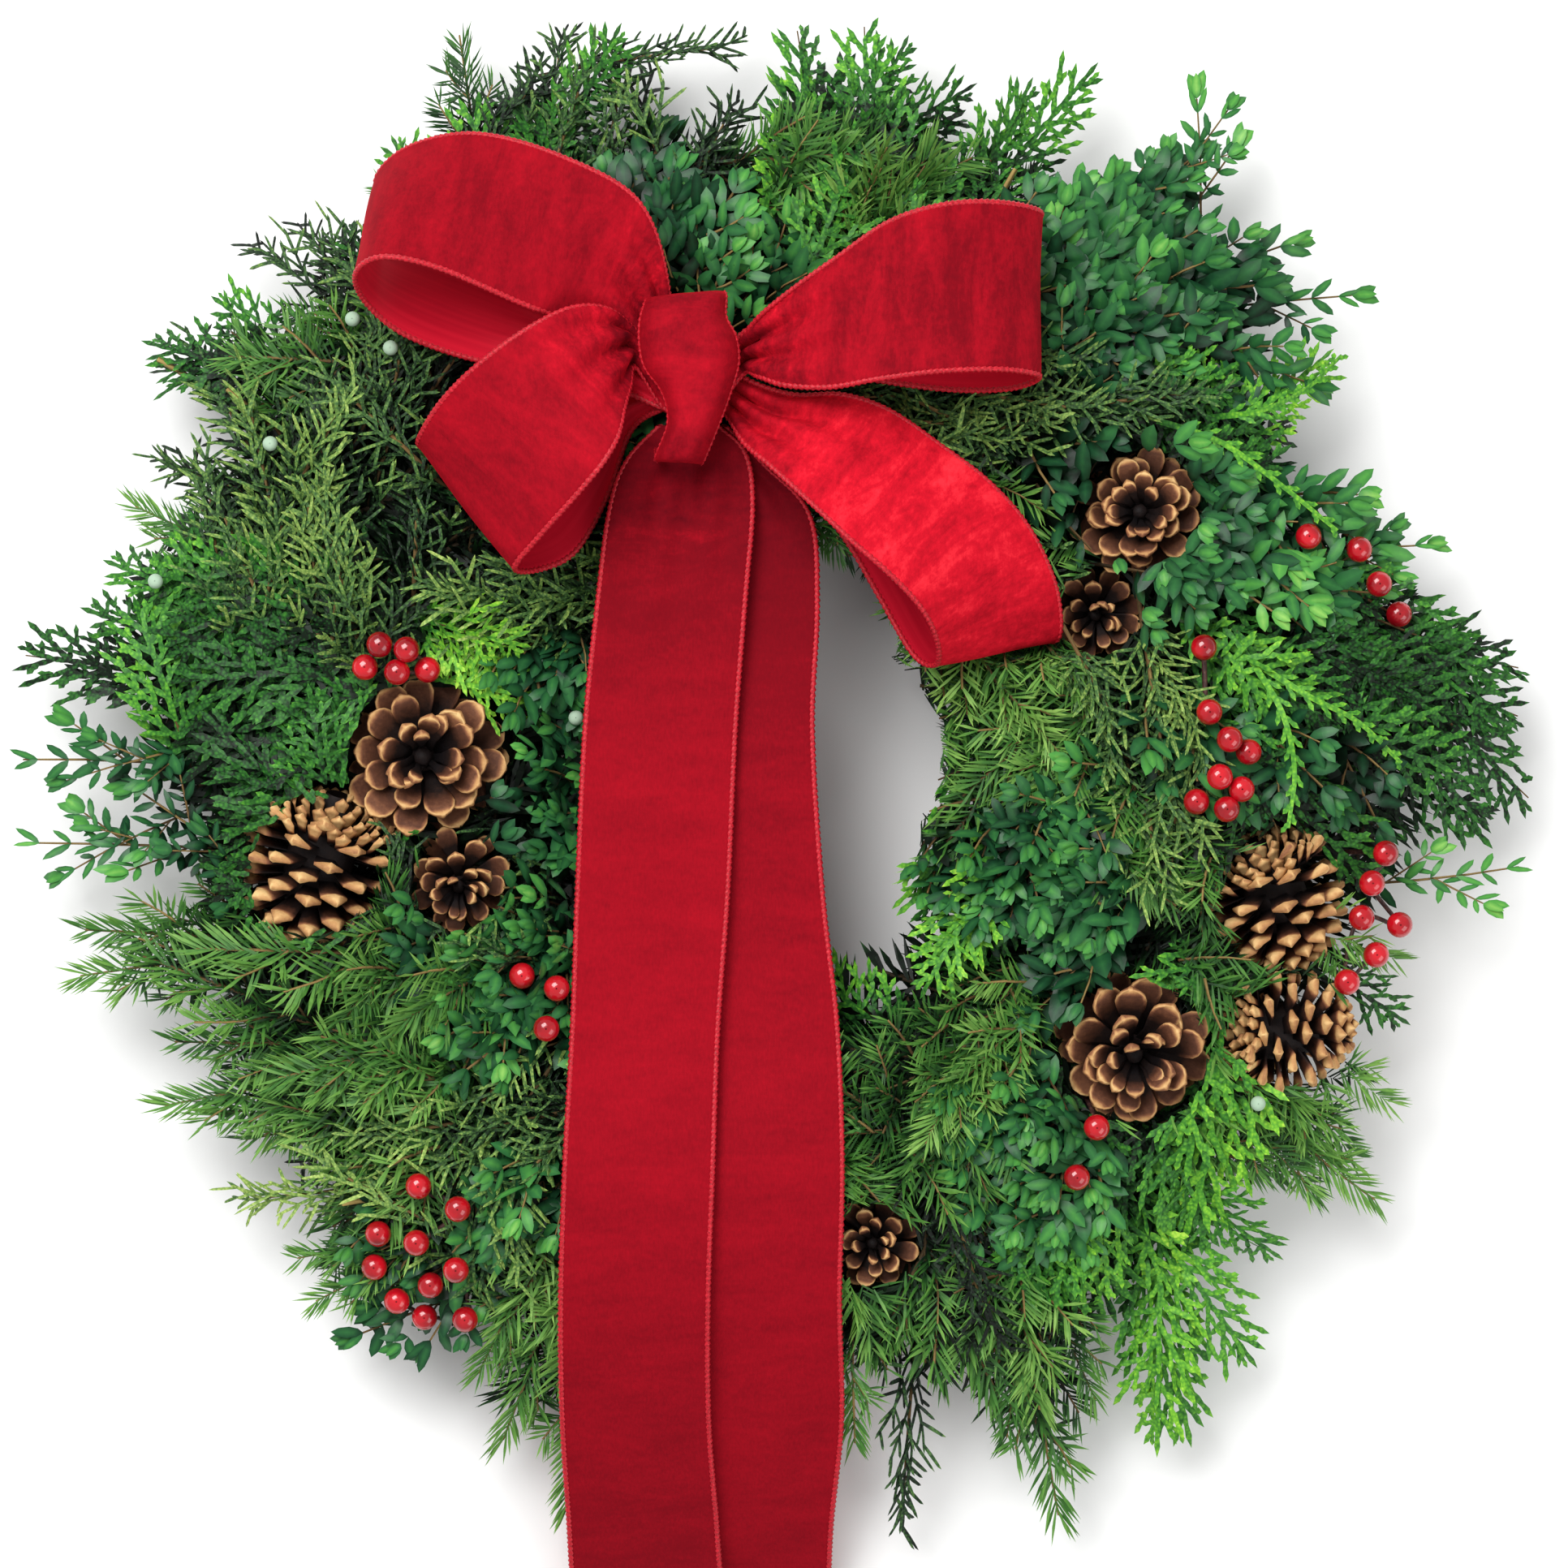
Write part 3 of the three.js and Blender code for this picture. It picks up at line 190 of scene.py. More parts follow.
lacquer, shader = new_material("green_lacquered_steel_wire")
place = add(lacquer, "TexCoord", {}, "Object")
chips = add(lacquer, "TexNoise", {"Vector": place, "Scale": per_metre(6.25), "Detail": 6.0})
lacquer_greens = [(0.36, "#16331f"), (0.62, "#234a2c"), (0.74, "#5c6258")]
fill(lacquer, shader, {
    "Base Color": add(lacquer, "ValToRGB", {"Fac": chips}, stops=lacquer_greens),
    "Roughness": add(lacquer, "MapRange", {"Value": chips, "To Min": 0.28, "To Max": 0.5}),
    "Metallic": 0.35,
})

zinc, shader = new_material("zinc_coated_florist_wire")
place = add(zinc, "TexCoord", {}, "Object")
spangle = add(zinc, "TexVoronoi", {"Vector": place, "Scale": per_metre(2)})
zinc_colour = add(zinc, "ValToRGB", {"Fac": spangle}, stops=[(0.0, "#7f8486"), (0.6, "#b3b8ba")])
fill(zinc, shader, {"Base Color": zinc_colour, "Metallic": 1.0, "Roughness": 0.38})

for name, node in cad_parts.items():
    if name == "ring_frame" or "wire" in name:
        node.data.materials.clear()
        node.data.materials.append(lacquer if name == "ring_frame" else zinc)

# The bow
# Wired velvet ribbon 63.5 mm wide: pile outside, satin lining inside, and a thin wire whipped into
# each edge with red thread. Four loops and two tails are gathered at the middle and bound by a band.

RIBBON_WIDTH = 63.5
ACROSS = 29  # points across a ribbon
PILE = 0.7  # from the ribbon's middle to its velvet face
KNOT_X, KNOT_Y = -32.5, 149.0
FIRST_LAYER = 104.6
LAYER_STEP = 1.75
GATHERED_HALF = 11.0
PLEATS = 3
PLEAT_HEIGHT = 2.6
PLEATS_BEGIN, PLEATS_RISE = 7, 14  # from the knot
PLEATS_END, PLEATS_FALL = 95, 60
SOFT_WAVE = 0.9
THREAD_PITCH = 2.4
THREAD_SIZES = np.array([1.0, 1.25, 0.82])  # the thread stands up once in every pitch

# Each loop: its side of the knot, its layers in front and behind, and the two edges of the ribbon
# at stations from the knot out and back.
LOOPS = {
    "bow_loop_upper_left": (-1, 2, 1, [
        (-41, 187, 109.6, -57, 160, 109.8), (-52, 220, 117, -78, 171, 119), (-82, 238, 118, -98, 178, 133),
        (-117, 248, 112, -132, 192, 142), (-145, 244, 98, -154, 196, 143), (-159, 232, 86, -165, 190, 130),
        (-151, 223, 76, -161, 179, 111), (-125, 220, 73, -145, 167, 101), (-92, 206, 82, -114, 157, 97),
        (-62, 183, 98, -78, 153, 101)]),
    "bow_loop_lower_left": (-1, 3, 0, [
        (-57, 172, 114, -54, 154, 114), (-67, 178, 123, -56, 146, 121), (-81, 177, 130, -58, 137, 131),
        (-98, 168, 134, -60, 126, 138), (-116, 155, 132, -66, 115, 142), (-130, 142, 124, -77, 102, 138),
        (-139, 130, 112, -92, 86, 127), (-141, 124, 100, -102, 74, 114), (-131, 125, 86, -92, 74, 99),
        (-115, 134, 80, -78, 82, 90), (-95, 146, 79, -65, 105, 87), (-71, 156, 88, -56, 130, 91)]),
    "bow_loop_upper_right": (1, 3, 2, [
        (-12, 167, 112, -11, 152, 112), (-3, 176, 122, -5, 150, 122), (10, 186, 130, 6, 146, 130),
        (26, 197, 136, 24, 145, 137), (47, 211, 140, 43, 148, 142), (70, 218, 139, 67, 151, 142),
        (93, 219, 132, 92, 152, 136), (108, 216, 116, 107, 150, 122), (96, 210, 98, 96, 146, 107),
        (70, 206, 90, 72, 146, 99), (39, 194, 92, 41, 150, 98), (11, 180, 101, 9, 155, 102),
        (-8, 171, 108, -8, 154, 108.4)]),
    "bow_loop_lower_right": (1, 1, 0, [
        (-9, 150, 106.6, -17, 134, 107.6), (9, 144, 111, -11, 124, 116), (28, 144, 113, 0, 114, 126),
        (47, 138, 110, 16, 99, 135), (68, 124, 106, 32, 84, 138), (88, 109, 102, 48, 70, 136),
        (104, 91, 96, 60, 57, 129), (115, 68, 88, 66, 45, 117), (117, 48, 78, 66, 36, 103),
        (109, 50, 71, 57, 40, 93), (92, 80, 67, 43, 64, 89), (68, 106, 70, 30, 86, 90),
        (34, 131, 83, 12, 109, 94), (-5, 147, 101, -15, 136, 102)]),
}
TAILS = {
    "bow_tail_front": [
        (-45, 132, 99.6, -21, 132, 99.6), (-58, 118, 99, -10, 121, 99), (-65, 98, 98, -7, 100, 98),
        (-70, 60, 96, -10, 62, 96), (-75, 10, 95, -14, 10, 95), (-78, -55, 95, -17, -55, 95),
        (-80, -110, 96, -21, -110, 96), (-83, -165, 98, -23, -165, 98), (-85, -220, 88, -25, -220, 88),
        (-85, -270, 66, -25, -270, 66), (-83, -315, 40, -22, -315, 40), (-82, -352, 16, -20, -352, 16),
        (-82, -384, 4, -20, -372, 4)],
    "bow_tail_rear": [
        (-42, 132, 97.8, -18, 132, 97.8), (-44, 118, 94, -2, 116, 94), (-45, 98, 90, 16, 96, 90),
        (-44, 60, 89, 19, 60, 89), (-45, 10, 89, 17, 10, 89), (-41, -55, 89, 21, -55, 89),
        (-35, -110, 90, 27, -110, 90), (-33, -165, 92, 29, -165, 92), (-33, -220, 82, 28, -220, 82),
        (-33, -270, 60, 29, -270, 60), (-37, -315, 34, 25, -315, 34), (-38, -345, 13, 24, -345, 13),
        (-38, -358, 4, 24, -372, 4)],
}

# Lightness at distances along the ribbon in millimetres, which is painted light and shade (darker where the
# tails run under the knot, brighter on the lit lower right loop), how crushed its pile is, and near the knot.
# The crush sets how strongly the pile's painted sheen and shade show.
VELVET_LIGHT_AND_SHADE = {
    "bow_loop_upper_left": (((0, 60, 150, 250, 400), (0.3, 0.37, 0.35, 0.3, 0.28)), 0.85, 3.0),
    "bow_loop_lower_left": (((0, 60, 150, 400), (0.36, 0.42, 0.37, 0.3)), 0.85, 3.0),
    "bow_loop_upper_right": (((0, 40, 110, 400), (0.36, 0.41, 0.34, 0.3)), 1.15, 3.0),
    "bow_loop_lower_right": (((0, 50, 120, 190, 400), (0.4, 0.56, 0.76, 0.56, 0.34)), 1.7, 2.0),
    "bow_tail_front": (((0, 40, 130, 260, 380, 500), (0.18, 0.22, 0.37, 0.39, 0.33, 0.28)), 0.4, 1.2),
    "bow_tail_rear": (((0, 40, 130, 260, 380, 500), (0.1, 0.12, 0.3, 0.36, 0.34, 0.32)), 0.4, 0.6),
    "bow_knot_front": (((0, 50, 110), (0.34, 0.4, 0.34)), 0.7, 1.0),
    "bow_knot": (((0, 50, 110), (0.3, 0.3, 0.3)), 0.6, 0.6),
}


def in_frame(points_mm):
    """Millimetres from the ring's middle to metres in the frame."""
    return np.asarray(points_mm, float) * 0.001 + RING_MIDDLE


def new_piece(name, points, faces, materials, index=None, smooth=True):
    """A mesh object that rides on the wreath. Points are in millimetres from the ring's middle."""
    mesh = bpy.data.meshes.new(name)
    faces = np.asarray(faces)
    corners = faces.shape[1]
    mesh.vertices.add(len(points))
    mesh.vertices.foreach_set("co", in_frame(points).astype(np.float32).ravel())
    mesh.loops.add(faces.size)
    mesh.loops.foreach_set("vertex_index", faces.astype(np.int32).ravel())
    mesh.polygons.add(len(faces))
    mesh.polygons.foreach_set("loop_start", np.arange(0, faces.size, corners, dtype=np.int32))
    mesh.polygons.foreach_set("use_smooth", np.full(len(faces), smooth))
    for material in materials:
        mesh.materials.append(material)
    mesh.update(calc_edges=True)
    mesh.validate()
    if index is not None:
        mesh.polygons.foreach_set("material_index", index.astype(np.int32))
    piece = bpy.data.objects.new(name, mesh)
    bpy.context.collection.objects.link(piece)
    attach(piece, "root")
    return piece


def carry(piece, name, values):
    """Gives each point of a piece a number or a vector, which its material reads."""
    values = np.asarray(values, np.float32)
    kind, key = ("FLOAT_VECTOR", "vector") if values.ndim > 1 else ("FLOAT", "value")
    piece.data.attributes.new(name, kind, "POINT").data.foreach_set(key, values.ravel())


def set_tone(piece, tone):
    """Light or dark, from 0 to 1 at each point."""
    carry(piece, "tone", np.clip(tone, 0, 1))


def through(points, count):
    """A smooth row of points through the given ones, as many steps between each two."""
    p = np.asarray(points, float)
    p = np.vstack([2 * p[0] - p[1], p, 2 * p[-1] - p[-2]])
    t = np.linspace(0, 1, count, endpoint=False)[:, None]
    rows = []
    for i in range(1, len(p) - 2):
        a, b, c, d = p[i - 1 : i + 3]
        square, cube = 2 * a - 5 * b + 4 * c - d, 3 * b - a - 3 * c + d
        rows.append(0.5 * (2 * b + (c - a) * t + square * t**2 + cube * t**3))
    return np.vstack([*rows, p[-2][None]])


def unit(vectors):
    return vectors / np.maximum(np.linalg.norm(vectors, axis=-1, keepdims=True), 1e-9)


def path_length(points):
    """The distance along a row of points up to each of them."""
    return np.concatenate([[0], np.cumsum(np.linalg.norm(np.diff(points, axis=0), axis=1))])


velvet, shader = new_material("crushed_silk_velvet")
# Cut pile about 1 mm high, pressed this way and that in patches some 13 by 45 mm; the sheen and shade of
# those patches are painted into the colour, most strongly near the knot.
# Its tufts and threads are finer than a millimetre, and are drawn coarser here so that they show.
place = add(velvet, "TexCoord", {}, "Object")
run = add(velvet, "Attribute", {}, "Vector", attribute_name="run")
crush_and_sheen = add(velvet, "Attribute", {}, "Fac", attribute_name="crush_and_sheen")
tone = add(velvet, "Attribute", {}, "Fac", attribute_name="tone")
run = add(velvet, "Mapping", {"Vector": run, "Scale": (per_metre(12.8), per_metre(45), 1.0)})
bands = add(velvet, "TexNoise", {
    "Vector": run, "Scale": 1.0, "Detail": 9.0, "Roughness": 0.7, "Distortion": 0.3,
})
grain = add(velvet, "TexNoise", {
    "Vector": place, "Scale": per_metre(3.33), "Detail": 5.0, "Roughness": 0.7,
})
weave = [per_metre(size) for size in (0.769, 2.38, 1.111)]
weave = add(velvet, "Mapping", {"Vector": place, "Scale": weave})
threads = add(velvet, "TexNoise", {"Vector": weave, "Scale": 1.0, "Detail": 3.0})
# The bands and grain paint the crushed pile's sheen and shade into the colour, more where the pile is more
# crushed, and the tone adds painted light and shade along the ribbon.
nap = add(velvet, "Mix", {"Factor": 0.28, "A": bands, "B": grain})
centred = add(velvet, "Math", {0: nap, 1: 0.5}, operation="SUBTRACT")
crushed = add(velvet, "Math", {0: centred, 1: crush_and_sheen, 2: tone}, operation="MULTIPLY_ADD")
level = add(velvet, "Math", {0: threads, 1: 0.16, 2: crushed}, operation="MULTIPLY_ADD")
# The darkest stops are painted shade and the lightest are painted highlight on the pile.
pile_reds_and_sheen = [(0.05, "#560511"), (0.35, "#7d0716"), (0.58, "#a80c1e"), (0.8, "#cf1428"), (1.0, "#f42e3c")]
fill(velvet, shader, {
    "Base Color": add(velvet, "ValToRGB", {"Fac": level}, stops=pile_reds_and_sheen),
    "Roughness": 0.8,
    "Sheen Weight": 0.3,
    "Sheen Roughness": 0.35,
    "Sheen Tint": linear("#ff1a30"),
    "Specular IOR Level": 0.06,
    "Normal": add(velvet, "Bump", {"Height": level, "Strength": 0.3, "Distance": 0.0006}),
})

satin, shader = new_material("red_polyester_satin")
# Smooth woven lining: a brighter red, with soft streaks of painted sheen along the warp, coarser than its
# real threads.
run = add(satin, "Attribute", {}, "Vector", attribute_name="run")
warp = add(satin, "Mapping", {"Vector": run, "Scale": (per_metre(110), per_metre(2.38), 1.0)})
sheen_streaks = add(satin, "TexNoise", {"Vector": warp, "Scale": 1.0, "Detail": 4.0})
fill(satin, shader, {
    "Base Color": add(satin, "ValToRGB", {"Fac": sheen_streaks}, stops=[(0.3, "#bd142a"), (0.7, "#d01c32")]),
    "Roughness": 0.42,
    "Specular IOR Level": 0.3,
    "Specular Tint": linear("#ff5868"),
    "Normal": add(satin, "Bump", {"Height": sheen_streaks, "Strength": 0.08, "Distance": 0.0002}),
})

# Glossy polyester thread wound round the edge wire.
edging = mottled_material("whipped_red_thread", 0.7143, 2.0, [(0.35, "#960a1a"), (0.65, "#cc1c2e")],
                          {"Roughness": 0.5, "Specular IOR Level": 0.3})


def ribbon_rows(stations, steps, gathered_ends):
    """Rows of points across a ribbon: cupped a little, and pleated where its edges are drawn together."""
    upper = through([s[:3] for s in stations], steps)
    lower = through([s[3:] for s in stations], steps)
    v = np.linspace(0, 1, ACROSS)
    rows = upper[:, None] + (lower - upper)[:, None] * v[None, :, None]
    middle = (upper + lower) / 2
    out = unit(np.cross(unit(np.gradient(middle, axis=0)), unit(lower - upper)))
    width = np.linalg.norm(lower - upper, axis=1)
    path = path_length(middle)
    near = np.minimum(path, path[-1] - path) if gathered_ends == 2 else path
    spare = np.sqrt(np.maximum(0, RIBBON_WIDTH / np.maximum(width, 18) - 1))
    rise = np.clip((near - PLEATS_BEGIN) / PLEATS_RISE, 0, 1)
    fall = np.clip((PLEATS_END - near) / PLEATS_FALL, 0, 1)
    height = np.minimum(2 * width / (2 * math.pi * PLEATS) * spare, PLEAT_HEIGHT) * (rise * fall)
    fade = np.sin(math.pi * v)[None, :]
    pleat = np.sin(2 * math.pi * PLEATS * v[None, :] + 0.5 + 0.01 * path[:, None]) * fade**0.5
    soft = SOFT_WAVE * np.sin(0.045 * path[:, None] + 2.2 * v[None, :]) * fade
    soft = soft * np.clip((near - 12) / 30, 0, 1)[:, None]
    return rows + out[:, None] * (height[:, None] * pleat + soft)[..., None], path


def grid_faces(rows, columns, first=0, flip=False):
    """Quads between rows of points."""
    i, j = np.meshgrid(np.arange(rows - 1), np.arange(columns - 1), indexing="ij")
    a = first + (i * columns + j).ravel()
    quad = np.stack([a, a + 1, a + columns + 1, a + columns], 1)
    return quad[:, ::-1] if flip else quad


def ring_faces(rings, sides):
    """Quads round a stack of rings of points."""
    i, j = np.meshgrid(np.arange(rings - 1), np.arange(sides), indexing="ij")
    a = (i * sides + j).ravel()
    b = (i * sides + (j + 1) % sides).ravel()
    return np.stack([a, b, b + sides, a + sides], 1)


def sheet_faces(n, m, outside):
    """Quads of a sheet's face, of its back, whose points follow the face's, and of its closed edges."""
    front = grid_faces(n, m, 0, flip=outside < 0)
    back = grid_faces(n, m, n * m, flip=outside > 0)
    rim = np.concatenate([np.arange(m), np.arange(1, n) * m + m - 1, (n - 1) * m + np.arange(m - 2, -1, -1),
                          np.arange(n - 2, 0, -1) * m])
    after = np.roll(rim, -1)
    side = np.stack([rim, after, after + n * m, rim + n * m], 1)
    return front, back, side if outside < 0 else side[:, ::-1]


def row_normals(rows):
    return unit(np.cross(np.gradient(rows, axis=0), np.gradient(rows, axis=1)))


def make_ribbon(name, rows, path, outside):
    """The velvet face, the lining 1.4 mm behind it and closed edges, as one sheet."""
    n, m = rows.shape[:2]
    normal = row_normals(rows) * outside
    points = np.concatenate([(rows + PILE * normal).reshape(-1, 3), (rows - PILE * normal).reshape(-1, 3)])
    parts = sheet_faces(n, m, outside)
    index = np.repeat([0, 1, 0], [len(part) for part in parts])
    piece = new_piece(f"{name}_ribbon", points, np.concatenate(parts), [velvet, satin], index)
    far_end = path[-1] + 400 if "tail" in name else path[-1]
    near = np.minimum(path, far_end - path)[:, None]
    # The lightness is painted light and shade along the ribbon; the crush scales the pile's painted sheen and
    # shade, most near the knot.
    light, crushed, knotted = VELVET_LIGHT_AND_SHADE[name]
    tone = np.clip(np.interp(path, *light), 0, 1)[:, None]
    crush_and_sheen = crushed + (knotted - crushed) * np.exp(-(((near - 30) / 26) ** 2))
    run = (path[:, None] * 0.001, np.linspace(0, RIBBON_WIDTH, m) * 0.001, len(name) * 90 * 0.001)
    for layer, values in (("tone", [tone]), ("crush_and_sheen", [crush_and_sheen]), ("run", run)):
        spread_out = np.stack([np.broadcast_to(value, (n, m)) for value in values], -1)
        carry(piece, layer, np.concatenate([spread_out, spread_out]).reshape(2 * n * m, -1).squeeze())
    return piece


def whipped_edge(name, line, side, normal):
    """A round edge with the turns of its thread standing up. line runs down the ribbon's rim."""
    length = path_length(line)
    count = int(length[-1] / THREAD_PITCH) * len(THREAD_SIZES) + 1
    at = np.linspace(0, length[-1], count)
    centre, inward, up = (np.stack([np.interp(at, length, row[:, k]) for k in range(3)], 1)
                          for row in (line, side, normal))
    inward, up = unit(inward), unit(up)
    size = THREAD_SIZES[np.arange(count) % len(THREAD_SIZES)]
    turns = 6
    angle = 2 * math.pi * np.arange(turns) / turns
    wide, high = np.cos(angle)[None, :, None], np.sin(angle)[None, :, None]
    ring = 1.2 * wide * inward[:, None] + 1.05 * high * up[:, None]
    lean = unit(np.gradient(centre, axis=0)) * 0.7
    points = centre[:, None] + inward[:, None] * 0.5 + ring * size[:, None, None] + lean[:, None] * high
    piece = new_piece(name, points.reshape(-1, 3), ring_faces(count, turns), [edging])
    return piece


def whipped_edges(name, rows, normal):
    """The edges down both sides of a ribbon."""
    edges = []
    for number, (edge, inner) in enumerate([(0, 1), (-1, -2)], 1):
        side = unit(rows[:, inner] - rows[:, edge])
        edges.append(whipped_edge(f"{name}_edge_{number}", rows[:, edge], side, normal[:, edge]))
    return edges


bow_surfaces = []  # rows of points of every ribbon, which press the greens down


def finish_ribbon(name, rows, path, outside):
    piece = make_ribbon(name, rows, path, outside)
    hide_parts(name)
    edges = whipped_edges(name, rows, row_normals(rows))
    bow_surfaces.append(rows)


def through_knot(side, layer):
    """Two stations inside the knot, in one of its layers."""
    z = FIRST_LAYER + layer * LAYER_STEP
    low, high = KNOT_Y - GATHERED_HALF, KNOT_Y + GATHERED_HALF
    return [(KNOT_X + side * away, high, z, KNOT_X + side * away, low, z) for away in (1.5, 10.5)]


for name, (side, front_layer, back_layer, stations) in LOOPS.items():
    whole = through_knot(side, front_layer) + stations + through_knot(side, back_layer)[::-1]
    rows, path = ribbon_rows(whole, 9, 2)
    finish_ribbon(name, rows, path, -side)

for name, stations in TAILS.items():
    rows, path = ribbon_rows(stations, 14, 1)
    finish_ribbon(name, rows, path, 1)

# The knot
# A short length of the same ribbon, folded over itself and wound round the middle of the bow,
# full in front, with its pile out and its edges turned under behind.

KNOT_LEFT = [(-50, 180), (-52, 172), (-52, 162), (-50, 154), (-44, 146), (-41, 138), (-41, 130), (-46, 118)]
KNOT_RIGHT = [(-18, 183), (-18, 174), (-14, 166), (-13, 156), (-16, 145), (-20, 134), (-24, 124), (-27, 117)]
KNOT_TOP = 132.5
OVER_TOP = np.array([(0, -4.0, -14.5), (0, -1.0, -9.0), (0, 1.4, -4.0)])  # how the front turns in above
UNDER_END = np.array([(0, -0.8, -4.0), (0, 1.6, -9.0), (0, 4.5, -14.0)])  # and below
BAND_WIDTH, BAND_LENGTH = 0.0207, 0.07
BAND_DOWN = [(18.5, 119), (19.3, 112), (19.0, 105), (17.0, 101.4), (10, 100.6), (0, 100.4)]  # y and height
BAND_PATH = BAND_DOWN + [(-y, z) for y, z in BAND_DOWN[-2::-1]]


def knot_front():
    """Rows down the front of the knot, domed, with folds that fan out to both ends."""
    left = through([(x, y, 0) for x, y in KNOT_LEFT], 6)
    right = through([(x, y, 0) for x, y in KNOT_RIGHT], 6)
    v = np.linspace(0, 1, 25)
    down = np.linspace(0, 1, len(left))[:, None]
    from_middle = np.abs(2 * down - 1)
    front = left[:, None] + (right - left)[:, None] * v[None, :, None]
    dome = KNOT_TOP - 9 * (2 * v - 1) ** 4 - 2.5 * (2 * v - 1) ** 2
    folds = 0.6 * np.sin(7.5 * v[None, :] + 1.8 * down) * np.sin(math.pi * v)[None, :]
    folds += 0.5 * np.sin(15 * v[None, :] - 2.4 * down + 1) * from_middle
    front[..., 2] = dome[None, :] - 5.5 * from_middle**5 + folds * (0.4 + 0.9 * from_middle)
    turned_in = [front[:1] + shift for shift in OVER_TOP]
    turned_under = [front[-1:] + shift for shift in UNDER_END]
    return np.concatenate([*turned_in, front, *turned_under])


knot_rows = knot_front()
knot_path = path_length(knot_rows[:, 12])
knot_piece = make_ribbon("bow_knot_front", knot_rows, knot_path, 1)
knot_edges = whipped_edges("bow_knot_front", knot_rows, -row_normals(knot_rows))


def band_round_middle():
    """The rest of the band, down both sides of the gathered ribbon and across behind it."""
    line = through([(0, y, z) for y, z in BAND_PATH], 6)
    across = np.linspace(-9, 9, 17)
    rows = np.repeat(line[:, None], len(across), axis=1) + np.array([KNOT_X, KNOT_Y, 0])
    rows[..., 0] += across[None]
    out = unit(np.cross(np.gradient(line, axis=0), np.array([1.0, 0, 0])))
    return rows + out[:, None] * (0.55 * np.sin(across / 18 * 4 * math.pi))[None, :, None]


band_rows = band_round_middle()
band_path = np.linspace(0, BAND_LENGTH * 1000, len(band_rows))
band = make_ribbon("bow_knot", band_rows, band_path, 1)
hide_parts("bow_knot")

# The pine cones
# Open cones with woody scales set in spirals on a core. Each scale is a thin tongue, dark inside with painted
# shade, with a pale worn rim or a tan diamond at its end. They are wired on by their stem ends.

CONES = {  # stem end, direction of the axis, radius, length, form
    1: ((-141, -2, 56), (0.02, 0.05, 1), 33.5, 50, "open"),
    2: ((-175, -16, 76), (-0.25, -0.86, -0.25), 31, 67, "closed"),
    3: ((-126, -47, 58), (-0.02, -0.35, 0.9), 21.5, 36, "open"),
    4: ((149, 96, 58), (0, 0.1, 1), 27, 44, "open"),
    5: ((132, 60, 44), (0, -0.2, 1), 20.5, 34, "open"),
    6: ((195, -35, 70), (0.38, -0.86, -0.3), 28.5, 56, "closed"),
    7: ((181, -113, 69), (0.965, 0.04, -0.24), 25.5, 58, "closed"),
    8: ((146, -115, 57), (0.03, -0.24, 0.97), 32.5, 50, "open"),
    9: ((42, -198, 52), (-0.05, 0, 1), 20.5, 34, "open"),
}
GOLDEN_ANGLE = 137.508
CORE_RINGS, CORE_SIDES = 10, 12
SMALL_CONE = 23  # radius
PACKED_END = 0.2  # of a closed cone's length
SCALE_WIDTHS = ([0, 0.15, 0.3, 0.6, 0.8, 1], [0.8, 0.9, 1.0, 0.86, 0.62, 0.42])
# A form's scales: points along and across one, how they lean in degrees and how long they are in
# radii at steps from base to tip, their widths and thickness in radii, and where on the cone they start.
CONE_FORMS = {
    "open": {
        "u": [0, 0.3, 0.52, 0.68, 0.8, 0.89, 0.96, 1.0], "w": [-1, -0.74, -0.4, 0, 0.4, 0.74, 1.0],
        "steps": [0, 0.25, 0.5, 0.75, 1], "leans": [-6, 12, 30, 50, 66],
        "longs": [0.86, 0.94, 0.86, 0.68, 0.5],
        "longer": (0.86, 1.06), "widest": 0.215, "thick": 0.1, "diamond": 0.0, "loose": 8,
        "start": 0.06, "run": 0.5, "core": 0.11, "core_power": 1},
    "closed": {
        "u": [0, 0.4, 0.68, 0.8, 0.92, 1.0], "w": [-1, -0.5, 0, 0.5, 1.0],
        "steps": [0, 0.199, 0.2, 0.36, 0.65, 1], "leans": [-84, -50, -22, 2, 26, 64],
        "longs": [0.32, 0.32, 0.86, 0.93, 0.86, 0.36],
        "longer": (0.96, 1.03), "widest": 0.2, "thick": 0.065, "diamond": 1.0, "loose": 3,
        "start": 0.1, "run": 0.76, "core": 0.38, "core_power": 0.6},
}

cone_wood, shader = new_material("weathered_pine_cone_scale")
# Brown bark-like wood, tan where the rims are worn; the near black deep inside is painted shade.
place = add(cone_wood, "TexCoord", {}, "Object")
grain = add(cone_wood, "TexNoise", {
    "Vector": place, "Scale": per_metre(2.38), "Detail": 5.0, "Roughness": 0.65,
})
shifted = add(cone_wood, "Math", {0: grain, 1: 0.3, 2: -0.15}, operation="MULTIPLY_ADD")
tone = add(cone_wood, "Attribute", {}, "Fac", attribute_name="tone")
level = add(cone_wood, "Math", {0: tone, 1: shifted}, operation="ADD")
wood_browns_and_shade = [(0.0, "#0d080a"), (0.18, "#20130f"), (0.42, "#5a3626"), (0.62, "#8a5a3e"), (0.8, "#c08f5c"),
               (0.97, "#e2bb80")]
fill(cone_wood, shader, {
    "Base Color": add(cone_wood, "ValToRGB", {"Fac": level}, stops=wood_browns_and_shade),
    "Roughness": 0.65,
    "Specular IOR Level": 0.2,
    "Normal": add(cone_wood, "Bump", {"Height": grain, "Strength": 0.5, "Distance": 0.0005}),
})


def turned_to(direction):
    """The turn that takes +Z to a direction."""
    return np.array(Vector((0, 0, 1)).rotation_difference(Vector(direction)).to_matrix())


def smooth_step(low, high, value):
    t = np.clip((value - low) / (high - low), 0, 1)
    return t * t * (3 - 2 * t)


def hump(value, middle, width):
    return np.exp(-(((value - middle) / width) ** 2))


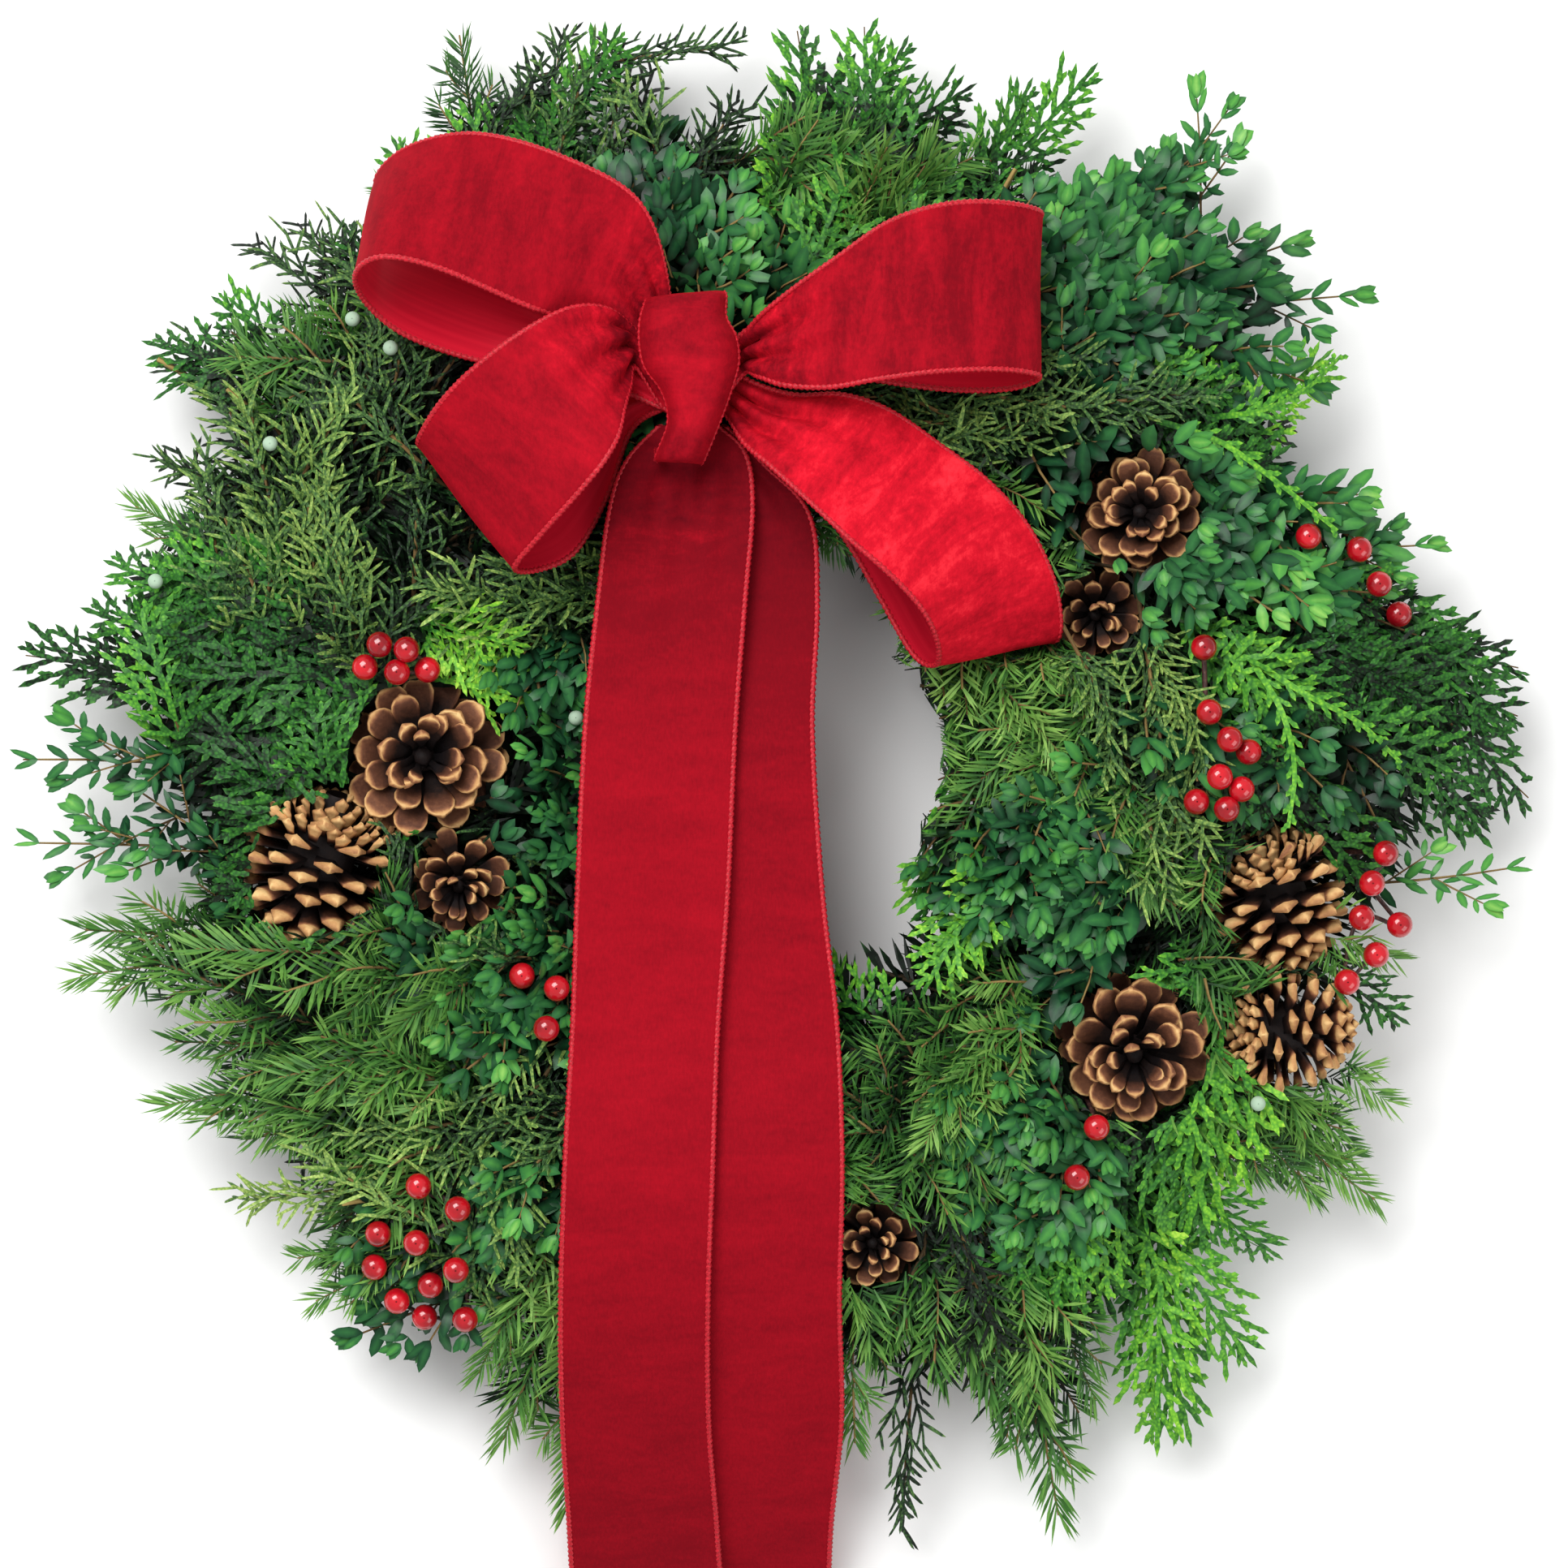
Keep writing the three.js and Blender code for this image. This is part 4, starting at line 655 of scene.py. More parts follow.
def cone_scale(u, w, root, long, lean, half, thick, diamond, bare):
    """One scale: x out from the core, y across, z along the cone. A tongue with a thick rounded end, cupped.

    u runs along it and w across, diamond is 1 for the pointed shields of a closed cone, and bare is
    where its outer side comes out from under its neighbours; up to there it is painted in dark shade.
    """
    u, w = u[:, None], w[None, :]
    rounded = np.sqrt(np.clip(1 - ((u - 0.78) / 0.222) ** 2, 0.03, 1))
    pointed = np.clip(1 - ((u - 0.8) / 0.22), 0.1, 1)
    narrow = 0.34 + 0.22 * diamond
    neck = narrow + (1 - narrow) * smooth_step(0.15, 0.8, u)
    outline = np.where(u < 0.78, neck, diamond * pointed + (1 - diamond) * rounded)
    across = half * outline * w
    cup = 0.2 * half * w**2 * u * (1 - diamond)
    body = thick * (0.22 + 0.78 * hump(u, 0.86, 0.17)) * (1 - 0.62 * w**2) + 0.25
    keel = diamond * thick * 0.9 * hump(u, 0.88, 0.09) * (1 - np.abs(w))
    bend = -0.05 * long * u**3
    sides = []
    for hand, more in ((1, 0.5 * keel), (-1, keel)):
        over = cup + bend + hand * (body * 0.5 + more)
        x = root + long * u * np.cos(lean) - over * np.sin(lean)
        z = long * u * np.sin(lean) + over * np.cos(lean)
        sides.append(np.stack([x, across + 0 * x, z], -1).reshape(-1, 3))
    # Painted shade: the inner side darkens towards the core, and the outer side stays dark until it comes
    # clear of its neighbours. The pale rims, sides and tips are worn wood; a closed cone's diamonds are
    # darker towards their sides.
    sides_worn = smooth_step(0.7, 1.0, np.abs(w)) * smooth_step(0.55, 0.85, u)
    rim = np.maximum(smooth_step(0.88, 0.99, u), sides_worn)
    shade = 0.05 + 0.38 * smooth_step(0.36, 0.84, u) + 0.46 * rim
    tip = 0.04 + (0.49 + 0.38 * diamond) * smooth_step(bare, bare + 0.16, u) + 0.12 * rim * (1 - diamond)
    tip -= 0.16 * diamond * smooth_step(0.35, 1.0, np.abs(w))
    inner = diamond * tip + (1 - diamond) * shade
    return np.concatenate(sides), np.concatenate([inner.ravel(), (tip + 0 * w).ravel()])


def gathered(parts):
    """Joins (points, faces) pairs into one pair."""
    firsts = np.cumsum([0] + [len(points) for points, _ in parts])
    faces = [faces + first for (_, faces), first in zip(parts, firsts)]
    return np.concatenate([points for points, _ in parts]), np.concatenate(faces)


def cone_core(radius, length, form):
    """The spindle that the scales stand on, closed at its top."""
    top = form["start"] + form["run"]
    z = np.linspace(0, top, CORE_RINGS)
    belly = np.sin(math.pi * np.clip(z / top, 0.02, 0.98)) ** form["core_power"]
    rings = radius * (0.08 + form["core"] * belly)[:, None]
    angle = np.linspace(0, 2 * math.pi, CORE_SIDES, endpoint=False)
    height = np.repeat(z[:, None] * length, CORE_SIDES, 1)
    points = np.stack([rings * np.cos(angle), rings * np.sin(angle), height], -1)
    end = (CORE_RINGS - 1) * CORE_SIDES + np.arange(CORE_SIDES)
    cap = np.stack([end[:1].repeat(5), end[1:10:2], end[2:11:2], end[3::2]], 1)
    return points.reshape(-1, 3), np.concatenate([ring_faces(CORE_RINGS, CORE_SIDES), cap])


def scale_places(closed, radius):
    """Where scales stand along the cone. A closed one has many more, packed small on its base."""
    if closed:
        return np.concatenate([0.199 * np.sqrt(np.linspace(0.02, 1, 66)), np.linspace(PACKED_END, 1, 76)])
    count = 42 if radius > SMALL_CONE else 30
    return (np.arange(count) + 0.5) / count


def pine_cone(seed, radius, length, form_name):
    """Scales on a golden spiral round a core."""
    rng = np.random.default_rng(seed)
    form = CONE_FORMS[form_name]
    closed = form_name == "closed"
    u, w = np.array(form["u"]), np.array(form["w"])
    faces_one = np.concatenate(sheet_faces(len(u), len(w), -1))
    parts, tones = [], []
    for k, h in enumerate(scale_places(closed, radius)):
        packed = closed and h < PACKED_END
        lean = math.radians(np.interp(h, form["steps"], form["leans"]) + rng.normal(0, form["loose"]))
        long = radius * np.interp(h, form["steps"], form["longs"]) * rng.uniform(*form["longer"])
        half = form["widest"] * radius * np.interp(h, *SCALE_WIDTHS)
        thick = form["thick"] * radius
        if packed:
            root = radius * np.interp(h, [0, 0.199], [0.02, 0.74])
            half, thick, bare = half * 0.56, thick * 0.5, 0.1
        else:
            root, bare = 0.12 * radius, 0.61
        scale, tone = cone_scale(u, w, root, long, lean, half, thick + 0.4, form["diamond"], bare)
        spin = Matrix.Rotation(k * math.radians(GOLDEN_ANGLE) + rng.normal(0, 0.05), 3, "Z")
        rock = Matrix.Rotation(rng.normal(0, 0.02 * form["loose"]), 3, "X")
        scale = scale @ np.array(spin @ rock).T
        scale[:, 2] += length * (form["start"] + form["run"] * h)
        parts.append((scale, faces_one))
        tones.append(tone + rng.normal(0, 0.04))
    points, faces = gathered([*parts, cone_core(radius, length, form)])
    points[:, 2] = np.clip(points[:, 2], -0.06 * length, length * 1.04)
    # The core's tone of 0.06 paints it nearly black, as painted shade deep in the cone.
    return points, faces, np.concatenate([*tones, np.full(CORE_RINGS * CORE_SIDES, 0.06)])


for number, (base, axis, radius, length, form) in CONES.items():
    points, faces, tones = pine_cone(number, radius, length, form)
    points = points @ turned_to(axis).T + np.array(base)
    piece = new_piece(f"pine_cone_{number}_scales", points, faces, [cone_wood])
    set_tone(piece, tones)
    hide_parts(f"pine_cone_{number}")

# The berries
# Glossy red winterberries about 11 mm across on short stalks, on thin dark twigs tucked into the ring.
# Of each sprig: the place of its foot among the clamps, the height of its knee, and its berries.

BERRY_RADIUS = 5.3
BERRY_STALK = 13.0
BERRY_ROWS, BERRY_TURNS = 14, 20
FIRST_CLAMP, CLAMP_STEP, CLAMPS = 16.0, 24.0, 15
RING_RADIUS = 165.0
BERRIES = {
    "upper_left": (6.55, 45, [(-163, 35), (-157, 44), (-146, 42), (-138, 34), (-150, 33)]),
    "left": (8.5, 45, [(-100, -89), (-86, -94), (-90, -110)]),
    "lower_left": (9.45, 45, [(-142, -174), (-126, -183), (-143, -197), (-159, -194), (-161, -208),
                              (-152, -222), (-141, -229), (-124, -229), (-127, -208), (-138, -215)]),
    "upper_right": (14.6, 45, [(174, 43), (176, 17), (184, 6), (192, 1), (189, -14), (180, -9), (171, -19),
                               (183, -22)]),
    "right": (0.55, 45, [(217, 88), (238, 83), (246, 69), (255, 57)]),
    "lower_right": (13.7, 27, [(249, -40), (243, -52), (255, -69), (239, -66), (233, -92), (245, -81)]),
    "bottom": (12.5, 45, [(131, -150), (123, -170)]),
}
CREST_RADIUS = 167.0  # the middle line of the greens
BODY_HALF = 112.0
BODY_BASE, BODY_RISE = 20.0, 68.0


def body_height(radius):
    """Height of the body of greens at a distance from the middle."""
    across = (radius - CREST_RADIUS) / BODY_HALF
    return BODY_BASE + BODY_RISE * np.sqrt(np.maximum(0, 1 - across * across))


def polar(degrees, radius, height):
    turn = math.radians(degrees)
    return np.array([radius * math.cos(turn), radius * math.sin(turn), height])


# A taut waxy skin, bright red and a little darker in patches, with a hard small highlight.
berry_reds = [(0.3, "#7d0813"), (0.5, "#b00b1a"), (0.7, "#cc1222")]
berry_skin = mottled_material("winterberry_skin", 11.1, 3.0, berry_reds, {
    "Roughness": 0.16,
    "Coat Weight": 0.4,
    "Coat Roughness": 0.06,
    "Subsurface Weight": 0.08,
    "Subsurface Radius": (0.004, 0.001, 0.001),
})

# Thin smooth bark, purplish brown, with paler flecks.
bark_browns = [(0.35, "#2a1414"), (0.6, "#4d2a24"), (0.75, "#7a5a48")]
twig_bark = mottled_material("dark_winterberry_bark", 1.429, 4.0, bark_browns, {"Roughness": 0.6})


def tube(points, radii, sides=6):
    """A round stem through the points, closed at neither end because both are sunk in something."""
    points, radii = np.asarray(points, float), np.asarray(radii, float)
    along = unit(np.gradient(points, axis=0))
    side = unit(np.cross(along, np.array([0.31, 0.22, 0.92])))
    over = np.cross(side, along)
    angle = 2 * math.pi * np.arange(sides) / sides
    ring = np.cos(angle)[None, :, None] * side[:, None] + np.sin(angle)[None, :, None] * over[:, None]
    out = points[:, None] + ring * radii[:, None, None]
    return out.reshape(-1, 3), ring_faces(len(points), sides)


def berry_ball(centre, stalk_from):
    """A slightly flattened ball, dimpled where its stalk goes in and at the opposite end."""
    down = np.linspace(0.06, math.pi - 0.06, BERRY_ROWS)
    angle = 2 * math.pi * np.arange(BERRY_TURNS) / BERRY_TURNS
    r = BERRY_RADIUS * (1 - 0.07 * hump(down, 0, 0.35) - 0.05 * hump(down, math.pi, 0.3))
    aside = (r * np.sin(down))[:, None]
    height = np.repeat((-0.96 * r * np.cos(down))[:, None], BERRY_TURNS, 1)
    ball = np.stack([aside * np.cos(angle), aside * np.sin(angle), height], -1).reshape(-1, 3)
    return ball @ turned_to(unit(centre - stalk_from)).T + centre, ring_faces(BERRY_ROWS, BERRY_TURNS)


def berry_sprig(rng, foot, knee_height, berries):
    """A twig from the ring past the berries, and a bent stalk and a ball for each."""
    unders = [berry - np.array([0, 0, BERRY_STALK]) for berry in berries]
    root = polar(FIRST_CLAMP + CLAMP_STEP * foot, RING_RADIUS, 7.5)
    knee = (root + unders[0]) / 2
    knee[2] = min(unders[0][2], knee_height)
    line = through([root, knee, *unders], 6)
    parts = [tube(line, np.linspace(1.3, 0.8, len(line)))]
    for berry, under in zip(berries, unders):
        bow_out = np.array([*rng.uniform(-1.5, 1.5, 2), 0])
        stalk = through([under, (under + berry) / 2 + bow_out, berry - np.array([0, 0, 4.5])], 4)
        parts.append(tube(stalk, np.linspace(0.75, 0.6, len(stalk)), 5))
        parts.append(berry_ball(berry, under))
    index = np.repeat([1] + [1, 0] * len(berries), [len(faces) for _, faces in parts])
    return *gathered(parts), index


berry_centres = []
for name, (foot, knee_height, places) in BERRIES.items():
    heights = [body_height(math.hypot(x, y)) + 8 + 3 * (i % 3) for i, (x, y) in enumerate(places)]
    berries = [np.array([x, y, height]) for (x, y), height in zip(places, heights)]
    points, faces, index = berry_sprig(np.random.default_rng(len(name)), foot, knee_height, berries)
    piece = new_piece(f"berry_sprig_{name}_berries", points, faces, [berry_skin, twig_bark], index)
    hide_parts(f"berry_sprig_{name}")
    berry_centres += berries

# The greens
# Fresh cut sprays of silver fir, juniper, red cedar and boxwood, about 80 mm long with their own
# twigs, laid over one another outward and clockwise. Their stems run back to the clamps of the ring.

UP = np.array([0, 0, 1.0])


def leaf_material(name, stops, roughness, spots, gloss, scales=0.0):
    """A leaf colour that follows the tone of each point, with fine spots and sometimes overlapping scales,
    darker at their edges with painted shade.
    """
    material, shader = new_material(name)
    place = add(material, "TexCoord", {}, "Object")
    tone = add(material, "Attribute", {}, "Fac", attribute_name="tone")
    height = add(material, "TexNoise", {"Vector": place, "Scale": per_metre(spots), "Detail": 3.0})
    shifted = add(material, "Math", {0: height, 1: 0.22, 2: -0.11}, operation="MULTIPLY_ADD")
    level = add(material, "Math", {0: tone, 1: shifted}, operation="ADD")
    if scales:
        # Each scale is darker towards its edges: painted shade where the scales overlap.
        height = add(material, "TexVoronoi", {"Vector": place, "Scale": per_metre(scales)})
        edges = add(material, "Math", {0: height, 1: -0.5, 2: 0.2}, operation="MULTIPLY_ADD")
        level = add(material, "Math", {0: level, 1: edges}, operation="ADD")
    fill(material, shader, {
        "Base Color": add(material, "ValToRGB", {"Fac": level}, stops=stops),
        "Roughness": roughness,
        "Specular IOR Level": gloss,
        "Normal": add(material, "Bump", {"Height": height, "Strength": 0.3, "Distance": 0.0004}),
    })
    return material


LEAVES = [  # colours from dark to light, roughness, size of the spots, gloss, size of the scales
    ("silver_fir_needles",
     [(0, "#08130a"), (0.16, "#1c401b"), (0.39, "#3d702b"), (0.62, "#659440"), (1, "#9cc464")],
     0.5, 2, 0.22),
    ("juniper_needles",
     [(0, "#0a120b"), (0.2, "#203820"), (0.45, "#456a35"), (0.7, "#7b9a49"), (1, "#b4ca70")],
     0.55, 2.5, 0.2, 1.25),
    ("red_cedar_scale_leaves",
     [(0, "#0a1a0b"), (0.15, "#1c481c"), (0.4, "#347227"), (0.62, "#569a2e"), (0.85, "#80c034"),
      (1, "#acd84c")],
     0.5, 3.33, 0.2, 1.562),
    ("boxwood_leaves",
     [(0, "#06150a"), (0.22, "#1a4429"), (0.47, "#306b38"), (0.73, "#529a42"), (1, "#94c862")],
     0.34, 4, 0.19),
    ("young_evergreen_bark",
     [(0, "#2e2417"), (0.4, "#6b5432"), (0.7, "#a38b52"), (1, "#c7ae6e")], 0.7, 1.111, 0.2),
    ("bloomed_juniper_berry", [(0, "#6f8577"), (0.5, "#a6bfa6"), (1, "#c4d6c6")], 0.6, 3.33, 0.2),
]
GREEN_MATERIALS = [leaf_material(*leaf) for leaf in LEAVES]
FIR, JUNIPER, CEDAR, BOXWOOD, BARK, JUNIPER_BERRY = range(6)


def blade_numbers(faces, count):
    """One number for all the points of each leaf or twig, however it is made."""
    numbers = np.arange(count)
    while True:
        lowest = numbers[faces].min(axis=1)
        after = numbers.copy()
        for corner in range(3):
            np.minimum.at(after, faces[:, corner], lowest)
        if (after == numbers).all():
            return numbers
        numbers = after


class Parts:
    """Leaves and twigs gathered into one set of triangles: points, faces, tones, kinds and blade numbers."""

    def __init__(self):
        self.lists = [], [], [], [], []
        self.count = 0

    def add(self, points, faces, tones, kinds, blades):
        for held, new in zip(self.lists, (points, faces + self.count, tones, kinds, blades + self.count)):
            held.append(new)
        self.count += len(points)

    def put(self, points, faces, tones, kind):
        """Adds a form, or many leaves of one form, all of one kind."""
        tones = np.broadcast_to(tones, (len(points),))
        self.add(points, faces, tones, np.full(len(faces), kind), blade_numbers(faces, len(points)))

    def joined(self):
        return tuple(np.concatenate(one) for one in self.lists)


def triangles(quads):
    return np.concatenate([quads[:, [0, 1, 2]], quads[:, [0, 2, 3]]])


def leaf_frames(direction, up):
    ahead = unit(direction)
    side = unit(np.cross(up, ahead))
    return ahead, side, np.cross(ahead, side)


def put_blades(parts, rows, faces, tone, shade, kind):
    """One form for each leaf. rows holds its points and shade how much lighter than the leaf each is."""
    points = np.stack(rows, 1)
    faces = (np.asarray(faces)[None] + len(rows) * np.arange(len(points))[:, None, None]).reshape(-1, 3)
    parts.put(points.reshape(-1, 3), faces, (np.asarray(tone)[:, None] + np.asarray(shade)).ravel(), kind)


def put_needles(parts, base, direction, up, length, width, tone):
    """Flat fir needles with a groove down the middle, widest past their middle, bending a little."""
    ahead, side, over = leaf_frames(direction, up)
    length, width = length[:, None], np.full((len(base), 1), width)
    middle = base + ahead * length * 0.55 + over * length * -0.06
    rows = [base - side * width * 0.2, base + side * width * 0.2]
    rows += [middle + side * width * half + over * width * 0.12 for half in (-0.5, 0.5)]
    rows.append(base + ahead * length)
    put_blades(parts, rows, [(0, 1, 3), (0, 3, 2), (2, 3, 4)], tone, [-0.08, -0.08, 0, 0, 0.1], FIR)


def put_rod(parts, points, radii, tone, kind=BARK):
    """A three-sided twig."""
    out, quads = tube(points, radii, 3)
    parts.put(out, triangles(quads), tone, kind)


def twig_line(start, direction, length, bend, count=4):
    """Points along a twig that bends a little sideways and up."""
    t = np.linspace(0, 1, count)[:, None]
    side = np.cross(UP, direction)
    return start + direction * length * t + (side * bend[0] + UP * bend[1]) * length * t * t


def main_twig(parts, length, bend, count, thick, thin, tone):
    """The twig that a spray grows on, along +X."""
    line = twig_line(np.zeros(3), np.array([1.0, 0, 0]), length, bend, count)
    put_rod(parts, line, np.linspace(thick, thin, count), tone)
    return line


def along_line(line, at):
    """Positions and directions along a row of points, for fractions of its length."""
    f = np.clip(at, 0, 1) * (len(line) - 1)
    i = np.minimum(f.astype(int), len(line) - 2)
    place = line[i] + (line[i + 1] - line[i]) * (f - i)[:, None]
    return place, unit(line[i + 1] - line[i])


def side_twigs(rng, main, places, turns, rises, lengths, taper):
    """Twigs that leave the main one to both sides in turn, shorter towards its end."""
    for number, at in enumerate(places):
        start, _ = along_line(main, np.array([at]))
        side = 1 if number % 2 else -1
        direction = polar(side * rng.uniform(*turns), 1, rng.uniform(*rises))
        yield twig_line(start[0], direction, (taper - at) * rng.uniform(*lengths), (-side * 0.15, 0))


def twig_frame(line, at):
    """Places along a twig, with the directions ahead, aside and over the twig there."""
    base, along = along_line(line, at)
    side = unit(np.cross(UP, along))
    return base, along, side, np.cross(along, side)


def between(first, second, angle):
    """Directions at an angle from the first towards the second."""
    return first * np.cos(angle)[:, None] + second * np.sin(angle)[:, None]


def needled_twig(parts, rng, line, spacing, size, width, tone, opening, sides):
    """Needles all along a twig, standing off it forward and round its upper side, with a tuft at the end."""
    count = max(5, int(path_length(line)[-1] / spacing))
    at = (np.arange(count) + rng.uniform(0, 1, count)) / count
    at = 0.04 + 0.96 * at
    base, along, side, over = twig_frame(line, at)
    hand = rng.choice([-1.0, 1.0], count)
    turn = np.radians(np.clip(hand * rng.normal(68, 26, count), -sides, sides))
    lean = np.radians(opening) * (1 - 0.45 * at**3) * rng.uniform(0.85, 1.12, count)
    direction = between(along, between(over, side, turn), lean)
    sizes = size * rng.uniform(0.8, 1.08, count) * (1 - 0.28 * at**4)
    put_needles(parts, base, direction, over, sizes, width, tone + 0.16 * at + rng.normal(0, 0.06, count))


def fir_spray(parts, rng):
    main = main_twig(parts, 92, (rng.uniform(-0.08, 0.08), 0), 5, 1.3, 0.6, 0.55)
    needled_twig(parts, rng, main, 0.95, 18, 1.35, 0.0, 60, 110)
    for line in side_twigs(rng, main, (0.2, 0.36, 0.52, 0.66), (38, 50), (-0.1, 0.12), (40, 52), 1.05):
        put_rod(parts, line, np.linspace(0.85, 0.5, 4), 0.6)
        needled_twig(parts, rng, line, 1.05, 15.5, 1.3, 0.04, 58, 105)


def put_cords(parts, base, direction, length, width, tone):
    """Round branchlets clad in tight scale leaves, three-sided, pointed, thickest below the middle."""
    ahead, side, over = leaf_frames(direction, np.tile([0.02, 0.03, 1.0], (len(base), 1)))
    rows = []
    for at, thick in ((0.0, 0.44), (0.4, 0.5), (0.84, 0.4)):
        for turn in (0, 2.094, 4.189):
            out = side * math.cos(turn + at) + over * math.sin(turn + at)
            rows.append(base + ahead * (length * at)[:, None] + out * (width * thick)[:, None])
    rows.append(base + ahead * length[:, None])
    faces = []
    for first in (0, 3):
        for k in range(3):
            n = (k + 1) % 3
            faces += [(first + k, first + n, first + n + 3), (first + k, first + n + 3, first + k + 3)]
    faces += [(6, 7, 9), (7, 8, 9), (8, 6, 9)]
    put_blades(parts, rows, faces, tone, np.repeat([-0.1, 0.0, 0.04, 0.14], [3, 3, 3, 1]), JUNIPER)


def juniper_spray(parts, rng):
    """Ropy green branchlets that fork again and again like antlers, on a brown twig."""
    main = main_twig(parts, 82, (rng.uniform(-0.1, 0.1), 0), 4, 1.3, 0.7, 0.5)
    cords = []  # start, direction, length, tone
    for number, at in enumerate(np.linspace(0.12, 1.0, 12)):
        start, _ = along_line(main, np.array([at]))
        side = 1 if number % 2 else -1
        turn = side * rng.uniform(22, 44) * (1.05 - 0.8 * at)
        rise = rng.uniform(-0.3, 0.5)
        place, reach = start[0], rng.uniform(20, 30) * (1.15 - 0.45 * at)
        for joint, share in enumerate((0.42, 0.33, 0.4)):
            heading = polar(turn, 1, rise)
            step = reach * share
            cords.append((place, heading, step * 1.25, 0.03 * joint))
            place = place + unit(heading) * step
            for hand in (-1, 1):
                if joint < 2 or hand == 1:
                    fork = polar(turn + hand * rng.uniform(32, 52), 1, rise + rng.uniform(-0.5, 0.6))
                    length = rng.uniform(7, 16) * (1.1 - 0.15 * joint)
                    cords.append((place - unit(heading) * 1.0, fork, length, 0.05 + 0.05 * joint))
            turn += rng.uniform(-14, 14)
    bases, directions, lengths, tones = (np.array(column) for column in zip(*cords))
    tones = tones + rng.normal(0, 0.05, len(tones))
    put_cords(parts, bases, directions, lengths, rng.uniform(1.5, 2.0, len(bases)), tones)


def put_strips(parts, base, direction, up, length, width, tone):
    """Flat branchlets of overlapping scale leaves: their edges swell and narrow like beads."""
    ahead, side, over = leaf_frames(direction, up)
    length, width = np.asarray(length)[:, None], np.asarray(width)[:, None]
    rows = []
    for at, half in ((0.0, 0.3), (0.28, 0.6), (0.5, 0.4), (0.74, 0.58)):
        centre = base + ahead * length * at + over * width * 0.25 * (1 - at)
        rows += [centre - side * width * half, centre + side * width * half]
    rows.append(base + ahead * length)
    faces = [(0, 1, 3), (0, 3, 2), (2, 3, 5), (2, 5, 4), (4, 5, 7), (4, 7, 6), (6, 7, 8)]
    put_blades(parts, rows, faces, tone, [-0.06, -0.06, 0, 0, -0.03, -0.03, 0.04, 0.04, 0.12], CEDAR)


def cedar_spray(parts, rng):
    """A flat fern-like spray: branchlets to both sides, each with shorter ones of its own."""
    main = main_twig(parts, 96, (rng.uniform(-0.08, 0.08), -0.02), 6, 1.1, 0.4, 0.35)
    axis = zip(*along_line(main, np.linspace(0.12, 0.9, 6)))
    strips = [(place, along, 17, 2.6, 0.0) for place, along in axis]  # start, direction, length, width, tone
    for number, at in enumerate(np.linspace(0.06, 0.93, 17)):
        start, _ = along_line(main, np.array([at]))
        side = 1 if number % 2 else -1
        angle = side * rng.uniform(40, 50) * (1 - 0.25 * at)
        reach = 44 * math.sin(math.pi * min(1, 0.22 + 0.62 * at)) * (1.12 - at) ** 0.45
        reach = reach * rng.uniform(0.85, 1.1) * (0.45 + at if at < 0.3 else 0.8)
        droop = rng.uniform(-0.28, 0.06)
        direction = unit(polar(angle, 1, droop))
        steps = max(2, int(reach / 4.8))
        for k in range(steps):
            f = k / steps
            place = start[0] + direction * reach * f + np.array([1, 0, 0]) * reach * 0.12 * f * f
            if k % 2 == 0:
                ahead = direction + np.array([0.12 * f, 0, 0])
                strips.append((place, ahead, reach / steps * 2.6, 2.4, 0.02 + 0.12 * f))
            inner = angle + (38 if k % 2 else -38) * (1 - 0.3 * f)
            twist = unit(polar(inner, 1, droop + rng.uniform(-0.15, 0.15)))
            length = (0.38 * reach * (1 - f) + 5.5) * rng.uniform(0.8, 1.15)
            strips.append((place, twist, length, 2.15, 0.05 + 0.15 * f))
    bases, directions, lengths, widths, tones = (np.array(column) for column in zip(*strips))
    tones = tones + rng.normal(0, 0.04, len(tones))
    up = np.tile(UP, (len(bases), 1)) + rng.normal(0, 0.2, (len(bases), 3))
    put_strips(parts, bases, directions, up, lengths, widths, tones)


LEAF_FACES = [(0, 4, 1), (4, 5, 1), (1, 5, 2), (5, 6, 2), (2, 6, 3),
              (0, 1, 7), (7, 1, 8), (1, 2, 8), (8, 2, 9), (2, 3, 9)]
LEAF_HIGHLIGHT_AND_SHADE = [-0.08, 0.13, 0.15, 0.07, -0.05, -0.05, -0.04, -0.05, -0.05, -0.04]  # painted highlight along the midrib and painted shade at the edges


def put_leaves(parts, base, direction, up, length, width, tone):
    """Small oval leaves with a sunk midrib and edges rolled under."""
    ahead, side, over = leaf_frames(direction, up)
    length, width = np.asarray(length)[:, None], np.asarray(width)[:, None]
    rib = ((0.34, 0.05), (0.68, 0.03), (1.0, -0.07))
    rows = [base] + [base + ahead * length * at + over * length * lift for at, lift in rib]
    for hand in (-1, 1):
        for at, half, lift in ((0.2, 0.36, 0.1), (0.48, 0.5, 0.1), (0.8, 0.36, 0.0)):
            rows.append(base + ahead * length * at + side * hand * width * half + over * width * lift)
    put_blades(parts, rows, LEAF_FACES, tone, LEAF_HIGHLIGHT_AND_SHADE, BOXWOOD)


